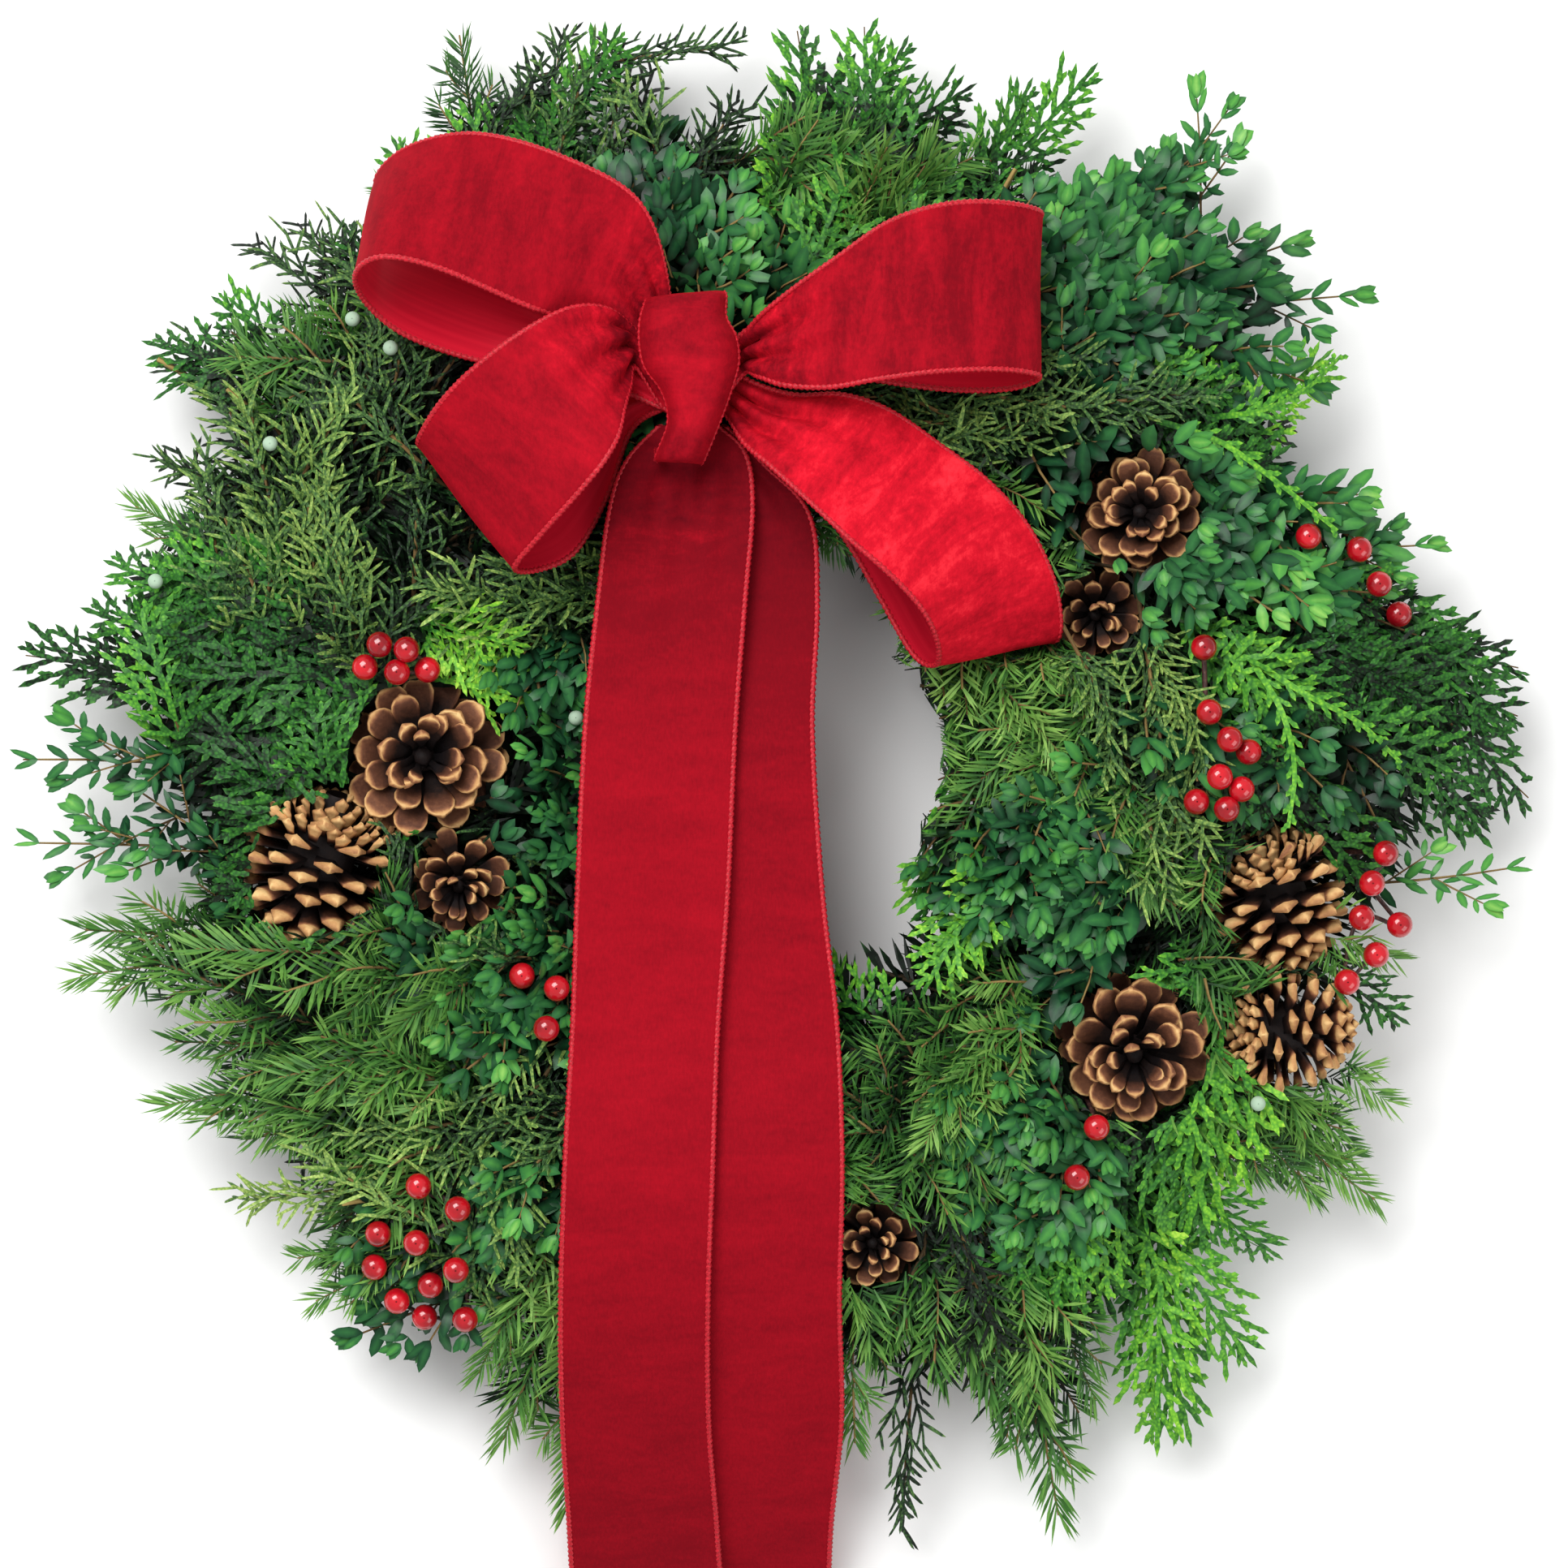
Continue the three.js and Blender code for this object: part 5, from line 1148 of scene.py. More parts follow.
def leafy_twig(parts, rng, line, spacing, size, slim=1.0):
    """Pairs of leaves along a twig, each pair crossed to the last, and three small ones at its end."""
    pairs = max(3, int(path_length(line)[-1] / spacing))
    count = 2 * pairs
    at = np.repeat((np.arange(pairs) + 0.5) / pairs, 2)
    base, along, side, over = twig_frame(line, at)
    crossed = np.repeat(np.arange(pairs) % 2, 2)
    turn = np.radians(np.where(crossed, 52, 88) + rng.normal(0, 12, count)) * np.tile([-1.0, 1.0], pairs)
    radial = between(over, side, turn)
    lean = np.radians(rng.uniform(48, 68, count)) * (1 - 0.35 * at**3)
    up = over + radial * 0.3 + rng.normal(0, 0.15, over.shape)
    sizes = size * rng.uniform(0.8, 1.1, count) * (1 - 0.3 * at**3)
    widths = sizes * rng.uniform(0.33, 0.43, count) * slim
    tones = 0.16 * at**2 + rng.normal(0, 0.06, count)
    put_leaves(parts, base, between(along, radial, lean), up, sizes, widths, tones)
    end, ahead = along_line(line, np.full(3, 1.0))
    tips = ahead + np.array([(0, 0.4, 0.25), (0, -0.4, 0.25), (0, 0, 0.5)])
    up = np.tile([0, 0.1, 1.0], (3, 1))
    put_leaves(parts, end, tips, up, [10.0, 11, 9], [5.0, 5.5, 4.5], [0.2, 0.26, 0.3])


def boxwood_spray(parts, rng):
    main = main_twig(parts, 84, (rng.uniform(-0.12, 0.12), 0), 5, 1.2, 0.6, 0.5)
    leafy_twig(parts, rng, main, 9.6, 20)
    for line in side_twigs(rng, main, (0.26, 0.44, 0.6), (34, 46), (-0.1, 0.25), (38, 46), 1.1):
        put_rod(parts, line, np.linspace(0.8, 0.5, 4), 0.55)
        leafy_twig(parts, rng, line, 9, 17.5)


def boxwood_shoot(parts, rng):
    """A single thin shoot with small leaves."""
    main = main_twig(parts, 86, (rng.uniform(-0.16, 0.16), 0), 5, 1.0, 0.5, 0.5)
    leafy_twig(parts, rng, main, 10.5, 14, 0.75)
    for at, side in ((0.35, 1), (0.58, -1)):
        start, _ = along_line(main, np.array([at]))
        line = twig_line(start[0], np.array([0.8, 0.6 * side, 0.1]), rng.uniform(18, 24), (0, 0), 3)
        put_rod(parts, line, np.linspace(0.6, 0.4, 3), 0.5)
        leafy_twig(parts, rng, line, 8, 11.5, 0.75)


def under_spray(parts, rng):
    """The older needles deep inside, which close the gaps, kept dark as painted shade."""
    main = main_twig(parts, 80, (0, 0), 3, 1.6, 1.0, 0.15)
    needled_twig(parts, rng, main, 2.0, 24, 2.9, 0.0, 62, 100)


def grown(maker, seed):
    parts = Parts()
    maker(parts, np.random.default_rng(seed))
    return parts.joined()


SPRAY_KINDS = (  # kind, maker, whole length, how many variants
    ("fir", fir_spray, 100, 5), ("juniper", juniper_spray, 94, 5), ("cedar", cedar_spray, 104, 5),
    ("boxwood", boxwood_spray, 92, 5), ("shoot", boxwood_shoot, 92, 6), ("under", under_spray, 88, 3),
)
SPRAYS = {kind: (whole, [grown(maker, 100 + 7 * variant) for variant in range(variants)])
          for kind, maker, whole, variants in SPRAY_KINDS}

# Where the sprays end in the photograph: kind, lightness, middle and spread in picture steps of
# 0.33 mm from the top left, how many, which way they point (none: outward and clockwise), length.
# The lightness is partly the greens' own colour and partly painted light and shade, darker round the bow.
PATCHES = [
    ("cedar", 0.35, 640, 110, 70, 50, 8, 100, 95), ("juniper", 0.35, 730, 90, 80, 40, 8, 70, 90),
    ("boxwood", 0.08, 820, 190, 60, 80, 9, 80, 80), ("boxwood", 0.32, 955, 270, 40, 50, 4, 60, 60),
    ("cedar", 0.5, 1040, 60, 60, 60, 8, 95, 100), ("cedar", 0.45, 1120, 160, 90, 60, 10, 60, 90),
    ("fir", 0.4, 1180, 200, 80, 60, 8, 40, 90), ("fir", 0.35, 1270, 230, 80, 60, 8, 35, 90),
    ("cedar", 0.5, 1310, 130, 40, 40, 2, 50, 80), ("boxwood", 0.3, 1400, 250, 80, 80, 10, 45, 90),
    ("boxwood", 0.45, 1470, 150, 40, 40, 4, 60, 90), ("boxwood", 0.3, 1520, 340, 90, 70, 12, 20, 90),
    ("boxwood", 0.14, 1400, 400, 90, 60, 10, 10, 80), ("cedar", 0.75, 1570, 480, 80, 40, 3, 30, 80),
    ("juniper", 0.5, 1240, 530, 90, 50, 8, -10, 80), ("juniper", 0.45, 1400, 510, 90, 50, 8, -10, 80),
    ("cedar", 0.4, 1580, 560, 60, 60, 6, 0, 80), ("boxwood", 0.35, 1560, 660, 90, 60, 10, -15, 85),
    ("boxwood", 0.45, 1700, 720, 60, 50, 6, -5, 80), ("boxwood", 0.3, 1560, 760, 90, 60, 9, -30, 80),
    ("cedar", 0.2, 1810, 850, 60, 60, 8, -25, 100), ("cedar", 0.22, 1840, 960, 60, 60, 8, -30, 100),
    ("cedar", 0.24, 1740, 900, 80, 80, 8, -40, 90), ("cedar", 0.5, 1640, 900, 60, 60, 4, -50, 90),
    ("fir", 0.5, 1180, 850, 60, 50, 7, 230, 80), ("fir", 0.55, 1300, 920, 80, 60, 10, -60, 85),
    ("fir", 0.5, 1200, 1000, 60, 60, 8, 225, 80), ("fir", 0.5, 1110, 1060, 50, 40, 6, 215, 80),
    ("juniper", 0.5, 1420, 960, 70, 60, 8, -70, 80), ("boxwood", 0.3, 1220, 1080, 80, 70, 14, 200, 70),
    ("boxwood", 0.25, 1260, 1180, 80, 60, 12, -80, 70), ("juniper", 0.55, 1440, 1090, 60, 50, 7, -60, 80),
    ("boxwood", 0.2, 1580, 980, 70, 50, 6, -45, 80), ("cedar", 0.55, 1140, 1230, 50, 70, 6, 250, 80),
    ("cedar", 0.1, 1640, 1100, 60, 60, 6, -45, 90), ("fir", 0.4, 1480, 1160, 60, 60, 6, -60, 80),
    ("fir", 0.4, 1120, 1400, 60, 60, 8, 230, 80), ("fir", 0.45, 1160, 1500, 50, 60, 6, 260, 90),
    ("boxwood", 0.3, 1240, 1420, 60, 50, 8, 260, 60), ("boxwood", 0.35, 1240, 1560, 60, 50, 8, 250, 70),
    ("fir", 0.4, 1600, 1330, 80, 60, 10, -40, 90), ("fir", 0.45, 1640, 1430, 60, 50, 8, -50, 90),
    ("cedar", 0.55, 1390, 1480, 60, 70, 5, -90, 110), ("cedar", 0.6, 1410, 1650, 60, 70, 5, -85, 130),
    ("cedar", 0.45, 1500, 1580, 40, 60, 3, -60, 100), ("cedar", 0.5, 1240, 1640, 60, 60, 5, 255, 90),
    ("juniper", 0.1, 1200, 1650, 50, 50, 5, 260, 90), ("fir", 0.35, 1290, 1780, 40, 60, 5, 275, 110),
    ("fir", 0.4, 1110, 1720, 60, 60, 7, 262, 90), ("fir", 0.4, 1080, 1620, 50, 50, 5, 262, 90),
    ("fir", 0.4, 620, 1720, 50, 60, 6, 240, 100), ("juniper", 0.5, 640, 1620, 50, 60, 6, 260, 80),
    ("boxwood", 0.3, 470, 1630, 60, 40, 6, 220, 70), ("juniper", 0.6, 430, 1450, 70, 60, 8, 190, 90),
    ("fir", 0.5, 400, 1560, 60, 50, 8, 215, 90), ("boxwood", 0.4, 600, 1550, 50, 50, 7, 240, 60),
    ("juniper", 0.4, 600, 1400, 70, 50, 8, 210, 80), ("fir", 0.45, 330, 1330, 90, 50, 12, 185, 100),
    ("fir", 0.4, 180, 1160, 40, 20, 3, 182, 110), ("fir", 0.45, 440, 1250, 60, 40, 5, 200, 80),
    ("boxwood", 0.3, 560, 1220, 80, 50, 12, 205, 65), ("boxwood", 0.2, 690, 890, 35, 40, 9, 255, 60),
    ("fir", 0.25, 1065, 700, 45, 25, 6, -70, 60), ("boxwood", 0.3, 600, 1280, 70, 60, 10, 215, 65),
    ("boxwood", 0.25, 660, 1000, 50, 80, 12, 200, 65), ("juniper", 0.4, 560, 1160, 60, 50, 7, 200, 70),
    ("cedar", 0.15, 200, 850, 90, 50, 12, 170, 110), ("cedar", 0.15, 270, 950, 70, 60, 10, 175, 90),
    ("fir", 0.3, 250, 1150, 60, 40, 5, 190, 90), ("cedar", 0.3, 170, 740, 60, 40, 5, 160, 100),
    ("cedar", 0.2, 250, 1060, 60, 50, 7, 180, 90), ("juniper", 0.5, 360, 540, 110, 110, 26, None, 85),
    ("cedar", 0.4, 180, 660, 80, 70, 12, 150, 90), ("fir", 0.4, 280, 400, 60, 50, 7, 140, 80),
    ("juniper", 0.4, 400, 300, 60, 50, 7, 130, 80), ("juniper", 0.5, 590, 730, 90, 50, 12, 160, 80),
    ("cedar", 0.75, 660, 840, 50, 40, 5, -10, 60), ("juniper", 0.35, 500, 420, 60, 60, 6, None, 70),
    ("cedar", 0.35, 420, 850, 60, 50, 6, None, 80),
]
PICTURE_STEP = 0.33
PICTURE_MIDDLE = (950, 930)
RIM_LEVEL, SPRAY_LEVEL, SHOOT_LEVEL = 32, 60, 70  # heights at which places are read off the picture
BODY_EDGE = 259.0
REACH_LIMIT = (313.0, 343.0)

# How far the dense greens reach from the middle, every 6 degrees from the right, anticlockwise.
REACH = [306, 294, 264, 267, 243, 243, 273, 288, 276, 300, 267, 267, 279, 270, 294, 264, 285, 294, 291, 294,
         282, 276, 267, 288, 291, 267, 270, 273, 282, 267, 276, 255, 255, 282, 258, 282, 261, 264, 282, 288,
         273, 294, 282, 282, 282, 282, 285, 285, 297, 300, 294, 273, 279, 267, 297, 288, 279, 270, 276, 297]


def reach_at(x, y):
    return np.interp(np.degrees(np.arctan2(y, x)) % 360, np.arange(0, 366, 6), REACH + REACH[:1])


def within_reach(x, y, slack):
    """Moves a place in to where the greens end, less the slack."""
    limit = float(reach_at(x, y)) - slack
    radius = math.hypot(x, y)
    return (x, y) if radius < limit else (x * limit / radius, y * limit / radius)


def from_picture(px, py, z):
    """The place at a height z that the photograph shows at a picture step."""
    size = PICTURE_STEP * (CAMERA_HEIGHT * 1000 - z) / ((CAMERA_HEIGHT - GREENS_LEVEL) * 1000)
    return (px - PICTURE_MIDDLE[0]) * size, (PICTURE_MIDDLE[1] - py) * size


def turn_of(x, y):
    return math.degrees(math.atan2(y, x))


def lie_of(x, y):
    """Which way a spray points at a place: outward on the rim, round on the crest, inward at the hole."""
    return turn_of(x, y) - float(np.interp(math.hypot(x, y), [84, 165, 230, 300], [150, 80, 50, 25]))


def tip_height(radius):
    """Height of the tips: that of the body of greens, and drooping to the ground beyond its edge."""
    if radius < BODY_EDGE:
        return float(body_height(radius))
    return float(np.interp(radius, [BODY_EDGE, 300, 345], [body_height(BODY_EDGE), 36, 24]))


# Single sprays that end on the outline: kind, lightness, tip in the picture, heading, length.
RIM_TIPS = [
    ("fir", 0.12, 574, 18, 95, 90), ("juniper", 0.35, 700, 42, 80, 90), ("cedar", 0.3, 780, 32, 60, 90),
    ("juniper", 0.35, 905, 66, 5, 85), ("cedar", 0.4, 985, 10, 97, 120), ("cedar", 0.4, 1070, 8, 90, 110),
    ("cedar", 0.35, 1128, 42, 62, 90), ("cedar", 0.35, 1210, 110, 30, 90),
    ("cedar", 0.35, 1282, 100, 60, 90), ("cedar", 0.4, 1362, 78, 48, 110),
    ("shoot", 0.4, 1500, 104, 84, 105), ("shoot", 0.35, 1530, 130, 50, 80),
    ("boxwood", 0.35, 1505, 190, 30, 80), ("boxwood", 0.35, 1612, 300, 18, 90),
    ("shoot", 0.35, 1684, 366, 5, 100), ("cedar", 0.8, 1652, 440, 35, 90),
    ("boxwood", 0.4, 1630, 490, -20, 80), ("shoot", 0.4, 1722, 655, 30, 85),
    ("shoot", 0.4, 1772, 688, -2, 90), ("cedar", 0.22, 1845, 798, 5, 105),
    ("cedar", 0.2, 1897, 832, -12, 115), ("cedar", 0.24, 1890, 905, -25, 110),
    ("cedar", 0.24, 1897, 1010, -45, 120), ("cedar", 0.2, 1830, 1040, -50, 105),
    ("shoot", 0.5, 1890, 1082, 2, 95), ("fir", 0.4, 1730, 1190, -20, 80),
    ("cedar", 0.3, 1735, 1270, -35, 85), ("fir", 0.4, 1722, 1375, -35, 95),
    ("fir", 0.4, 1708, 1495, -38, 105), ("fir", 0.35, 1625, 1490, -48, 90),
    ("cedar", 0.45, 1575, 1560, -40, 90), ("cedar", 0.45, 1542, 1700, -58, 115),
    ("cedar", 0.6, 1462, 1795, -78, 130), ("cedar", 0.65, 1418, 1800, -92, 120),
    ("fir", 0.35, 1345, 1745, -70, 90), ("fir", 0.3, 1300, 1900, 278, 130),
    ("fir", 0.3, 1232, 1790, 262, 100), ("juniper", 0.25, 1103, 1868, 264, 105),
    ("fir", 0.3, 1048, 1795, 270, 90), ("fir", 0.35, 684, 1880, 262, 100),
    ("fir", 0.4, 598, 1792, 245, 110), ("fir", 0.4, 572, 1700, 240, 90),
    ("boxwood", 0.15, 512, 1668, 235, 70), ("boxwood", 0.15, 415, 1645, 200, 80),
    ("fir", 0.4, 370, 1602, 205, 90), ("fir", 0.45, 350, 1545, 190, 85),
    ("juniper", 0.75, 302, 1468, 184, 95), ("fir", 0.4, 285, 1400, 190, 90),
    ("fir", 0.45, 182, 1352, 188, 110), ("fir", 0.45, 200, 1275, 178, 95),
    ("fir", 0.4, 76, 1196, 186, 110), ("fir", 0.4, 84, 1138, 176, 105),
    ("shoot", 0.3, 12, 1026, 176, 115), ("shoot", 0.28, 66, 1062, 200, 80),
    ("shoot", 0.3, 10, 908, 172, 115), ("shoot", 0.28, 70, 950, 190, 85),
    ("cedar", 0.14, 8, 788, 168, 120), ("cedar", 0.14, 70, 830, 180, 100),
    ("cedar", 0.4, 96, 742, 160, 100), ("cedar", 0.45, 130, 680, 155, 90),
    ("fir", 0.4, 158, 605, 150, 90), ("juniper", 0.4, 205, 570, 160, 80),
    ("cedar", 0.25, 172, 412, 160, 95), ("cedar", 0.25, 180, 452, 178, 80),
    ("cedar", 0.4, 262, 352, 140, 90), ("juniper", 0.35, 335, 296, 135, 85),
    ("juniper", 0.35, 392, 276, 120, 80), ("cedar", 0.45, 425, 268, 120, 70),
    ("cedar", 0.4, 492, 158, 110, 80), ("fir", 0.3, 462, 220, 140, 70), ("cedar", 0.3, 640, 100, 100, 90),
]
BARE_TIPS = 0.8  # a spray on the outline is this narrow beside one on the body
THINNED = 0.72  # of the counts in the table
TIP_TO_MIDDLE = 20.0
FILLER_GAP = 22.0
FILLER_RADII, FILLER_SPACING = (96, 122, 150, 178, 206, 234, 258), 28
UNDER_RADII, UNDER_SPACING = (98, 120, 142, 164, 186, 208, 228, 244), 24
FLOOR_RADII, FLOOR_SPACING = (110, 136, 162, 188, 214, 236, 252), 30
SPRAYS_UNDER_CONE = 20


def ring_places(rng, radii, spacing, jitter):
    """Places on rings round the wreath, a little out of line, each with its ring's radius."""
    for radius in radii:
        for turn in np.arange(0, 360, math.degrees(spacing / radius)):
            x, y, _ = polar(turn + rng.uniform(-3, 3), radius + rng.uniform(-jitter, jitter), 0)
            yield radius, x, y


def under_cone(rng, base, radius, form):
    """Sprays of old needles below a cone, pointing outward, kept dark as painted shade."""
    floor_height = base[2] - (10 if form == "open" else radius + 6)
    for _ in range(SPRAYS_UNDER_CONE):
        x, y = base[0] + rng.uniform(-1, 1) * radius, base[1] + rng.uniform(-1, 1) * radius
        height = max(12, floor_height - rng.uniform(0, 8))
        yield "under", 0.06, (*within_reach(x, y, 14), height), turn_of(x, y) + rng.uniform(-40, 40), 66, 1.0


rng = np.random.default_rng(11)
laid = []  # kind, lightness, tip, heading, length, width
for kind, tone, px, py, heading, length in RIM_TIPS:
    x, y = from_picture(px, py, RIM_LEVEL)
    tip = (x, y, tip_height(math.hypot(x, y)) + rng.uniform(-3, 4))
    laid.append((kind, tone, tip, heading, length, BARE_TIPS))
for kind, tone, px, py, sx, sy, count, heading, length in PATCHES:
    for _ in range(round(count * THINNED)):
        x, y = from_picture(px + rng.uniform(-sx, sx), py + rng.uniform(-sy, sy), SPRAY_LEVEL)
        x, y = within_reach(x, y, rng.uniform(-6, 8))
        way = lie_of(x, y) if heading is None else heading
        tip = (x, y, tip_height(math.hypot(x, y)) + rng.uniform(-15, 8))
        shade, way = tone + rng.normal(0, 0.07), way + rng.normal(0, 15)
        laid.append((kind, shade, tip, way, length * rng.uniform(0.9, 1.2), 1.0))

# Bare places between the patches get sprays of the kind that lies nearest, a little deeper and darker by
# painted shade.
placed = [(kind, tone) for kind, tone, *_ in laid]
middles = np.array([tip[:2] - TIP_TO_MIDDLE * polar(way, 1, 0)[:2] for _, _, tip, way, _, _ in laid])
for radius, x, y in ring_places(rng, FILLER_RADII, FILLER_SPACING, 6):
    away = np.hypot(middles[:, 0] - x, middles[:, 1] - y)
    if away.min() > FILLER_GAP:
        kind, tone = placed[int(away[: len(placed)].argmin())]
        way = lie_of(x, y)
        ahead = polar(way, 1, 0) * TIP_TO_MIDDLE
        tip = within_reach(x + ahead[0], y + ahead[1], rng.uniform(0, 12))
        tip = (*tip, tip_height(radius) + rng.uniform(-20, -6))
        laid.append((kind, tone - 0.14, tip, way + rng.normal(0, 14), 82, 1.0))
        middles = np.vstack([middles, (x, y)])

# Older needles close the depth of the body, line its underside and lie below the cones; their low lightness
# is painted shade.
for radius, x, y in ring_places(rng, UNDER_RADII, UNDER_SPACING, 8):
    for depth in (24, 44) if 115 < radius < 240 else (22,):
        height = max(9.0, float(body_height(radius)) - depth + rng.uniform(-6, 6))
        tip = (*within_reach(x, y, 24), height)
        laid.append(("under", 0.1, tip, lie_of(x, y) + rng.normal(0, 25), 70, 1.0))
for radius, x, y in ring_places(rng, FLOOR_RADII, FLOOR_SPACING, 8):
    tip = (*within_reach(x, y, 18), rng.uniform(14, 26))
    laid.append(("under", 0.06, tip, lie_of(x, y) + rng.normal(0, 35), 66, 1.0))
for base, _, radius, _, form in CONES.values():
    laid += under_cone(rng, base, radius, form)


def laid_spray(kind, tone, tip, heading, length, width, rng):
    """One spray bent along its own curve, with the end of its stem, which runs on down to the ring."""
    whole, variants = SPRAYS[kind]
    deep = kind == "under"
    points, faces, tones, kinds, blades = variants[rng.integers(len(variants))]
    ahead = polar(heading, 1, 0)
    tip = np.array(tip)
    root = tip - ahead * length * 0.96
    sunk = 8 if deep else 30
    body = float(body_height(math.hypot(root[0], root[1])))
    root[2] = max(10.0, min(tip[2] - 4, body - sunk + rng.uniform(-6, 4)))
    middle = tip - ahead * length * 0.5
    crown = min(tip_height(math.hypot(middle[0], middle[1])), tip[2] + 30) + rng.uniform(-3, 7)
    mean = (root[2] + tip[2]) / 2
    middle[2] = min(mean + 6 if deep else 2 * crown - mean, crown + 14)
    t = (points[:, 0] / whole)[:, None]
    place = (1 - t) ** 2 * root + 2 * t * (1 - t) * middle + t**2 * tip
    along = unit(2 * (1 - t) * (middle - root) + 2 * t * (tip - middle))
    side = unit(np.cross(UP, along))
    over = np.cross(along, side)
    roll = math.radians(rng.uniform(-28, 28))
    across = side * math.cos(roll) + over * math.sin(roll)
    upward = over * math.cos(roll) - side * math.sin(roll)
    size = 1.0 if deep else 0.5 + 0.5 * length / whole
    out = place + across * points[:, 1:2] * size * width + upward * points[:, 2:3] * size * width
    wood = np.isin(np.arange(len(tones)), faces[kinds == BARK])
    light = np.where(wood, tones, tones + tone + rng.normal(0, 0.05))
    return out, faces, light, kinds, blades, root


def cells_of(points, reach, size, count):
    """Column and row of each point in a square grid of cells that starts at -reach."""
    cells = ((points[:, :2] + reach) / size).astype(int)
    return tuple(np.clip(cells, 0, count - 1).T)


def neighbours(grid, outside):
    """A grid and its eight copies shifted by one cell."""
    size = len(grid)
    wide = np.pad(grid, 1, constant_values=outside)
    return [wide[i : i + size, j : j + size] for i in range(3) for j in range(3)]


BOW_GRID = (400, 2.0, 400)  # reach, size and count of its cells
FAR_UP = 1e3
BOW_GAP = 3.0
HOLE_BOXES = ((-70.5, 47.5, -66.7, 54.3), (21.5, 60.5, -41.2, 34.3))  # left, right, low and high sides
HOLE_ROUND, HOLE_RADIUS = 24, 45
GROUND_GAP = 2.0

underside = np.full((BOW_GRID[2], BOW_GRID[2]), FAR_UP)  # the lowest that the ribbons hang over each cell
for rows in bow_surfaces:
    flat = rows.reshape(-1, 3)
    np.minimum.at(underside, cells_of(flat, *BOW_GRID), flat[:, 2])
for _ in range(2):
    underside = np.minimum.reduce(neighbours(underside, FAR_UP))


def whole_blades(faces, blades, bad):
    """Which faces belong to leaves without a single bad point."""
    spoiled = np.bincount(blades, weights=bad, minlength=len(blades)) > 0
    return ~spoiled[blades[faces[:, 0]]]


def kept_clear(points, faces, blades):
    """Presses leaves down under the ribbon and picks those that stay clear of cones, berries and the hole."""
    pressed = np.minimum(points[:, 2], underside[cells_of(points, *BOW_GRID)] - BOW_GAP)
    points[:, 2] = np.maximum(GROUND_GAP, pressed)
    x, y, z = points.T
    shift = RING_MIDDLE[1] * 1000
    bad = (np.abs(x) > REACH_LIMIT[0]) | (y > REACH_LIMIT[1] - shift) | (y < -REACH_LIMIT[1] - shift)
    for left, right, low, high in HOLE_BOXES:
        bad |= (x > left) & (x < right) & (y > low) & (y < high)
    bad |= np.hypot(x - HOLE_ROUND, y) < HOLE_RADIUS
    for base, axis, radius, length, _ in CONES.values():
        axis = unit(np.array(axis, float))
        middle = np.array(base) + axis * length * 0.48
        away = points - middle
        height = away @ axis
        aside = np.linalg.norm(away - height[:, None] * axis, axis=1)
        bad |= (height / (length * 0.56)) ** 2 + (aside / (radius * 0.9)) ** 2 < 1
        bad |= (np.hypot(away[:, 0], away[:, 1]) < radius * 0.78) & (z > middle[2] - 4)
    for centre in berry_centres:
        away = points - centre
        bad |= np.linalg.norm(away, axis=1) < BERRY_RADIUS + 0.6
        bad |= (np.hypot(away[:, 0], away[:, 1]) < BERRY_RADIUS + 0.8) & (away[:, 2] > 0)
    return whole_blades(faces, blades, bad)


def bunch_at(x, y):
    """Row and clamp of the bunch that a spray ending at this place grows from."""
    clamp = math.ceil((turn_of(x, y) - FIRST_CLAMP) / CLAMP_STEP) % CLAMPS
    return "outer" if math.hypot(x, y) > CREST_RADIUS else "inner", clamp


STEM_REACH = 262  # a spray that starts farther out than this gets no stem of its own
STEM_HEIGHT = 14  # in its clamp
UNDER_MARGIN = 14  # how far the older needles stay inside the outline

bunches = {}
rng = np.random.default_rng(23)
for kind, tone, tip, heading, length, width in laid:
    points, faces, tones, kinds, blades, root = laid_spray(kind, tone, tip, heading, length, width, rng)
    if kind == "under":
        outside = np.hypot(points[:, 0], points[:, 1]) > reach_at(points[:, 0], points[:, 1]) - UNDER_MARGIN
        kept = whole_blades(faces, blades, outside)
        faces, kinds = faces[kept], kinds[kept]
    row, clamp = bunch_at(tip[0], tip[1])
    parts = bunches.setdefault((row, clamp), Parts())
    parts.add(points, faces, tones, kinds, blades)
    if kind != "under" and math.hypot(root[0], root[1]) < STEM_REACH:
        clamp_end = polar(FIRST_CLAMP + CLAMP_STEP * clamp, RING_RADIUS, STEM_HEIGHT) + rng.uniform(-4, 4, 3)
        halfway = (root + clamp_end) / 2
        halfway[2] = (root[2] + 2 * clamp_end[2]) / 3 + 4
        put_rod(parts, through([clamp_end, halfway, root], 2), np.linspace(1.6, 1.2, 5), 0.3)

# Long bare shoots of bright cedar that run over the greens: their course in the picture.
YELLOW_SHOOTS = [
    [(1425, 520), (1500, 548), (1575, 600), (1645, 655)],
    [(1540, 815), (1575, 880), (1590, 950), (1582, 1020)],
    [(1548, 820), (1610, 860), (1670, 890), (1725, 940)],
    [(1490, 515), (1550, 508), (1610, 478), (1655, 436)],
]
SHOOT_LEAVES = 16

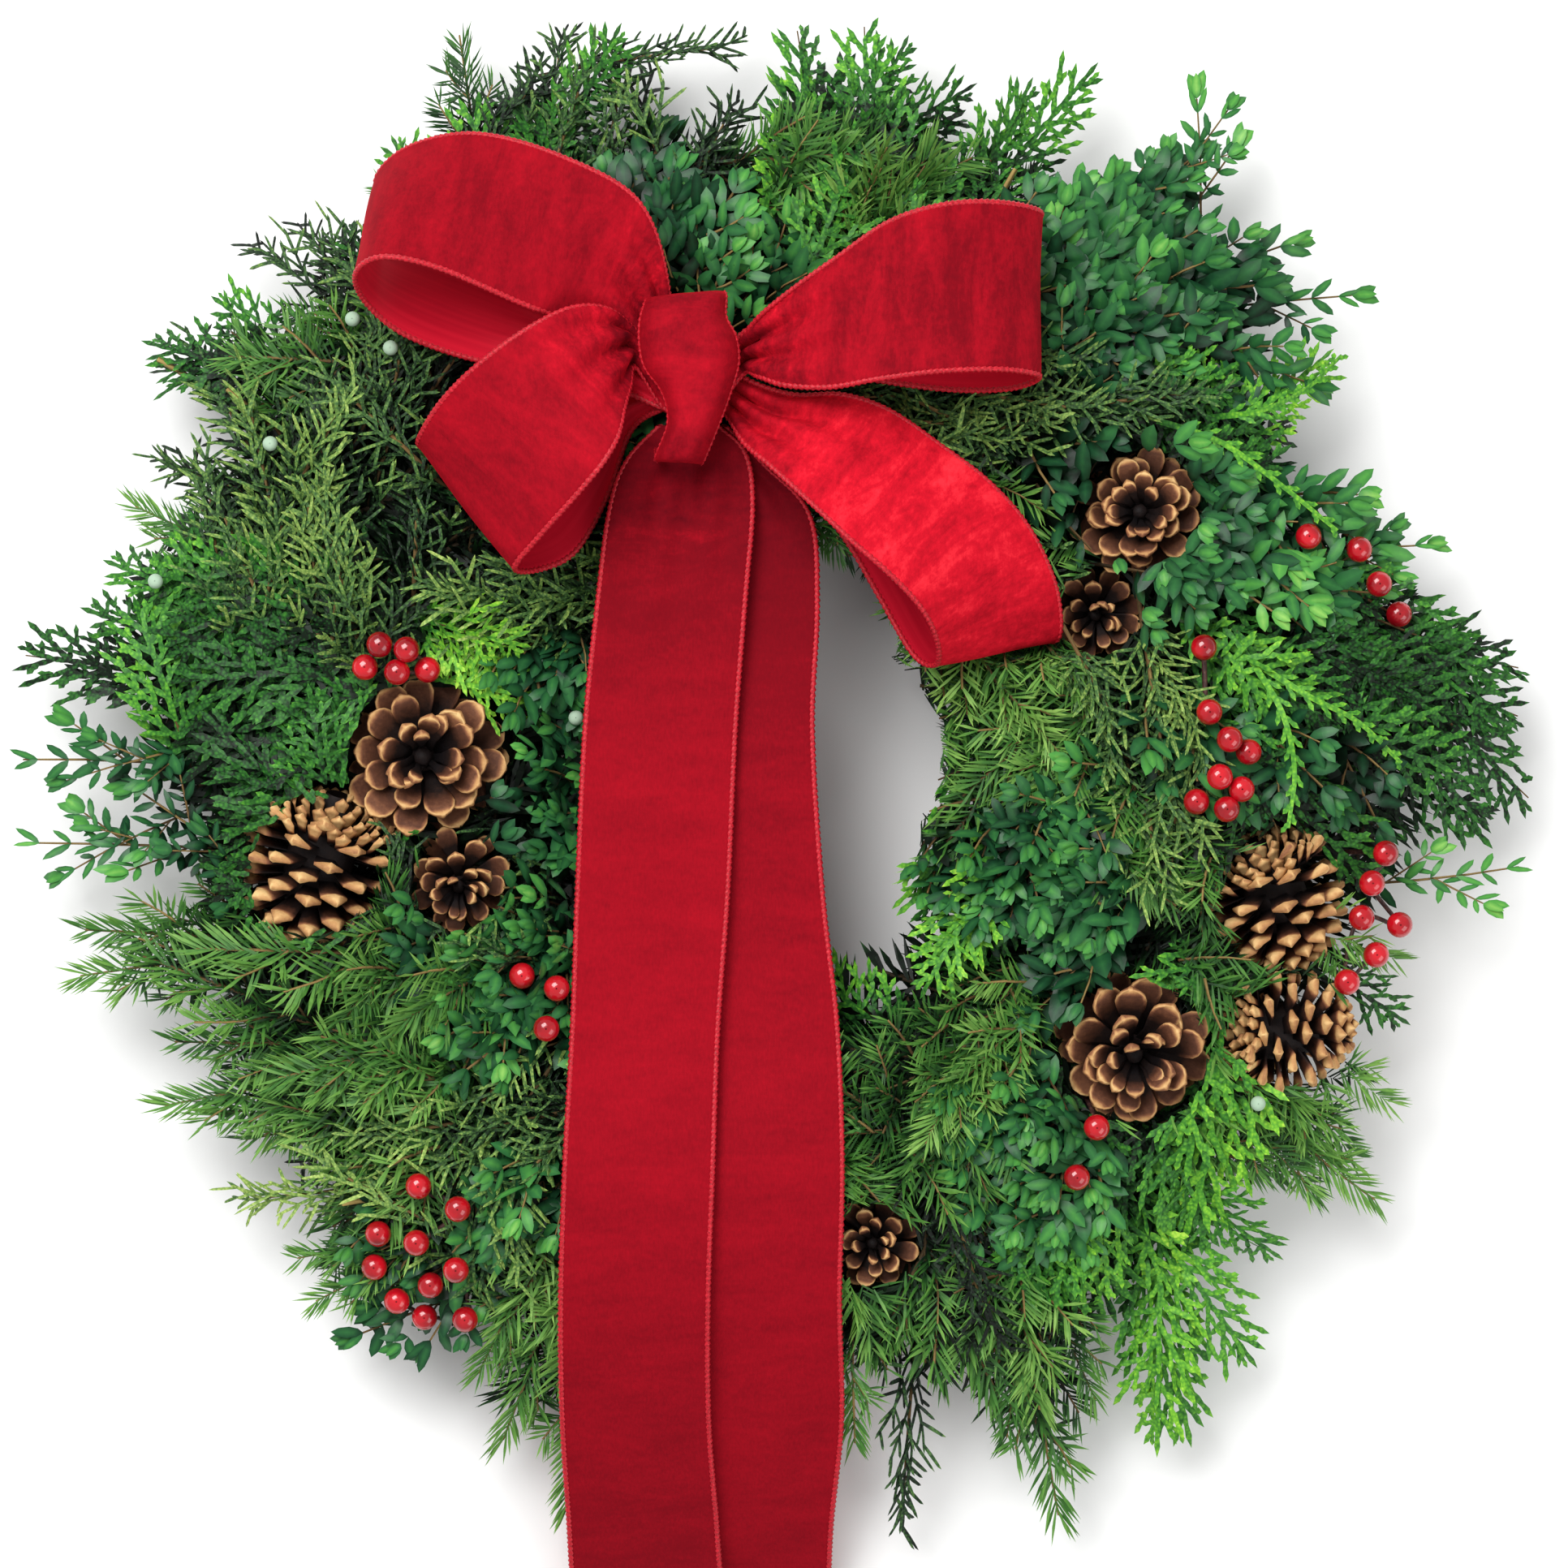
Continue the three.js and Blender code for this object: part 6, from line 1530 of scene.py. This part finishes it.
for course in YELLOW_SHOOTS:
    line = np.array([from_picture(px, py, SHOOT_LEVEL) + (0.0,) for px, py in course])
    line[:, 2] = [tip_height(math.hypot(x, y)) + 13 for x, y, _ in line]
    parts = bunches[bunch_at(line[1, 0], line[1, 1])]
    line[0, 2] -= 16
    line = through(line, 4)
    put_rod(parts, line, np.linspace(1.5, 0.9, len(line)), 0.7, CEDAR)
    at = np.linspace(0.12, 0.97, SHOOT_LEAVES)
    place, ahead = along_line(line, at)
    side = np.cross(UP, ahead) * np.tile([[1.0], [-1.0]], (SHOOT_LEAVES // 2, 1))
    ups = np.tile(UP, (SHOOT_LEAVES, 1))
    widths, tones = np.full(SHOOT_LEAVES, 1.9), np.full(SHOOT_LEAVES, 0.62)
    put_strips(parts, place, unit(ahead + 0.62 * side), ups, 10 - 5 * at, widths, tones)

# Cut ends of bare twigs that show between the leaves: place in the picture, heading, length.
TWIG_ENDS = [(424, 1482, 190, 40), (1250, 210, 60, 34), (1310, 240, 40, 30), (190, 440, 150, 40),
             (280, 480, 140, 36)]

for px, py, heading, length in TWIG_ENDS:
    x, y = from_picture(px, py, SPRAY_LEVEL)
    ahead = polar(heading, 1, 0)
    tip = np.array([x, y, tip_height(math.hypot(x, y)) + 8])
    line = [tip - ahead * length * 1.6 - (0, 0, 14), tip - ahead * length * 0.6, tip]
    put_rod(bunches[bunch_at(x, y)], line, [2.0, 1.6, 1.3], 0.75)

# A few juniper berries with a pale bloom, by their places in the picture.
JUNIPER_BERRIES = [(438, 397), (486, 434), (338, 550), (194, 717), (1546, 1357), (711, 885)]
JUNIPER_BERRY_SIZE = 0.58  # beside a winterberry

for px, py in JUNIPER_BERRIES:
    x, y = from_picture(px, py, SPRAY_LEVEL)
    centre = np.array([x, y, tip_height(math.hypot(x, y)) + 11])
    points, quads = berry_ball(centre, centre - np.array([0, 0, 5.0]))
    points = centre + (points - centre) * JUNIPER_BERRY_SIZE
    bunches[bunch_at(x, y)].put(points, triangles(quads), 0.5, JUNIPER_BERRY)

# The inner leaves are older and stand in shade: each is darker the deeper it lies below the crest, which is
# painted shade.
CREST_GRID = (410, 9.0, 92)  # reach, size and count of its cells
DEEP_SHADE = 0.52

crest = np.zeros((CREST_GRID[2], CREST_GRID[2]))
for parts in bunches.values():
    points = parts.joined()[0]
    np.maximum.at(crest, cells_of(points, *CREST_GRID), points[:, 2])
around = neighbours(crest, 0)
crest = np.sum(around, axis=0) / np.maximum(np.sum([cell > 0 for cell in around], axis=0), 1)

BRIGHT_CEDAR = ["cedar_bunch_outer_05", "cedar_bunch_inner_13", "cedar_bunch_outer_14"]
SLOT_OF = {"fir": "fir_needles", "juniper": "juniper_needles", "boxwood": "boxwood_leaves",
           "cedar": "dark_cedar"}

for (row, clamp), parts in sorted(bunches.items()):
    ending = f"_bunch_{row}_{clamp + 1:02d}"
    node = next(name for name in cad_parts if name.endswith(ending))
    points, faces, tones, kinds, blades = parts.joined()
    depth = crest[cells_of(points, *CREST_GRID)] - points[:, 2]
    tones = tones - DEEP_SHADE * smooth_step(4, 26, depth)
    keep = kept_clear(points, faces, blades)
    faces, kinds = faces[keep], kinds[keep]
    used, inverse = np.unique(faces, return_inverse=True)
    smooth = np.isin(kinds, (BOXWOOD, JUNIPER_BERRY, BARK))
    piece = new_piece(f"{node}_sprays", points[used], inverse.reshape(-1, 3), GREEN_MATERIALS, kinds, smooth)
    set_tone(piece, tones[used])
    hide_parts(node)
    "bright_cedar" if node in BRIGHT_CEDAR else SLOT_OF[node.split("_")[0]]

boxes = {"cad": cad_box, "finished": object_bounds()}
{name: [list(corner) for corner in box] for name, box in boxes.items()}
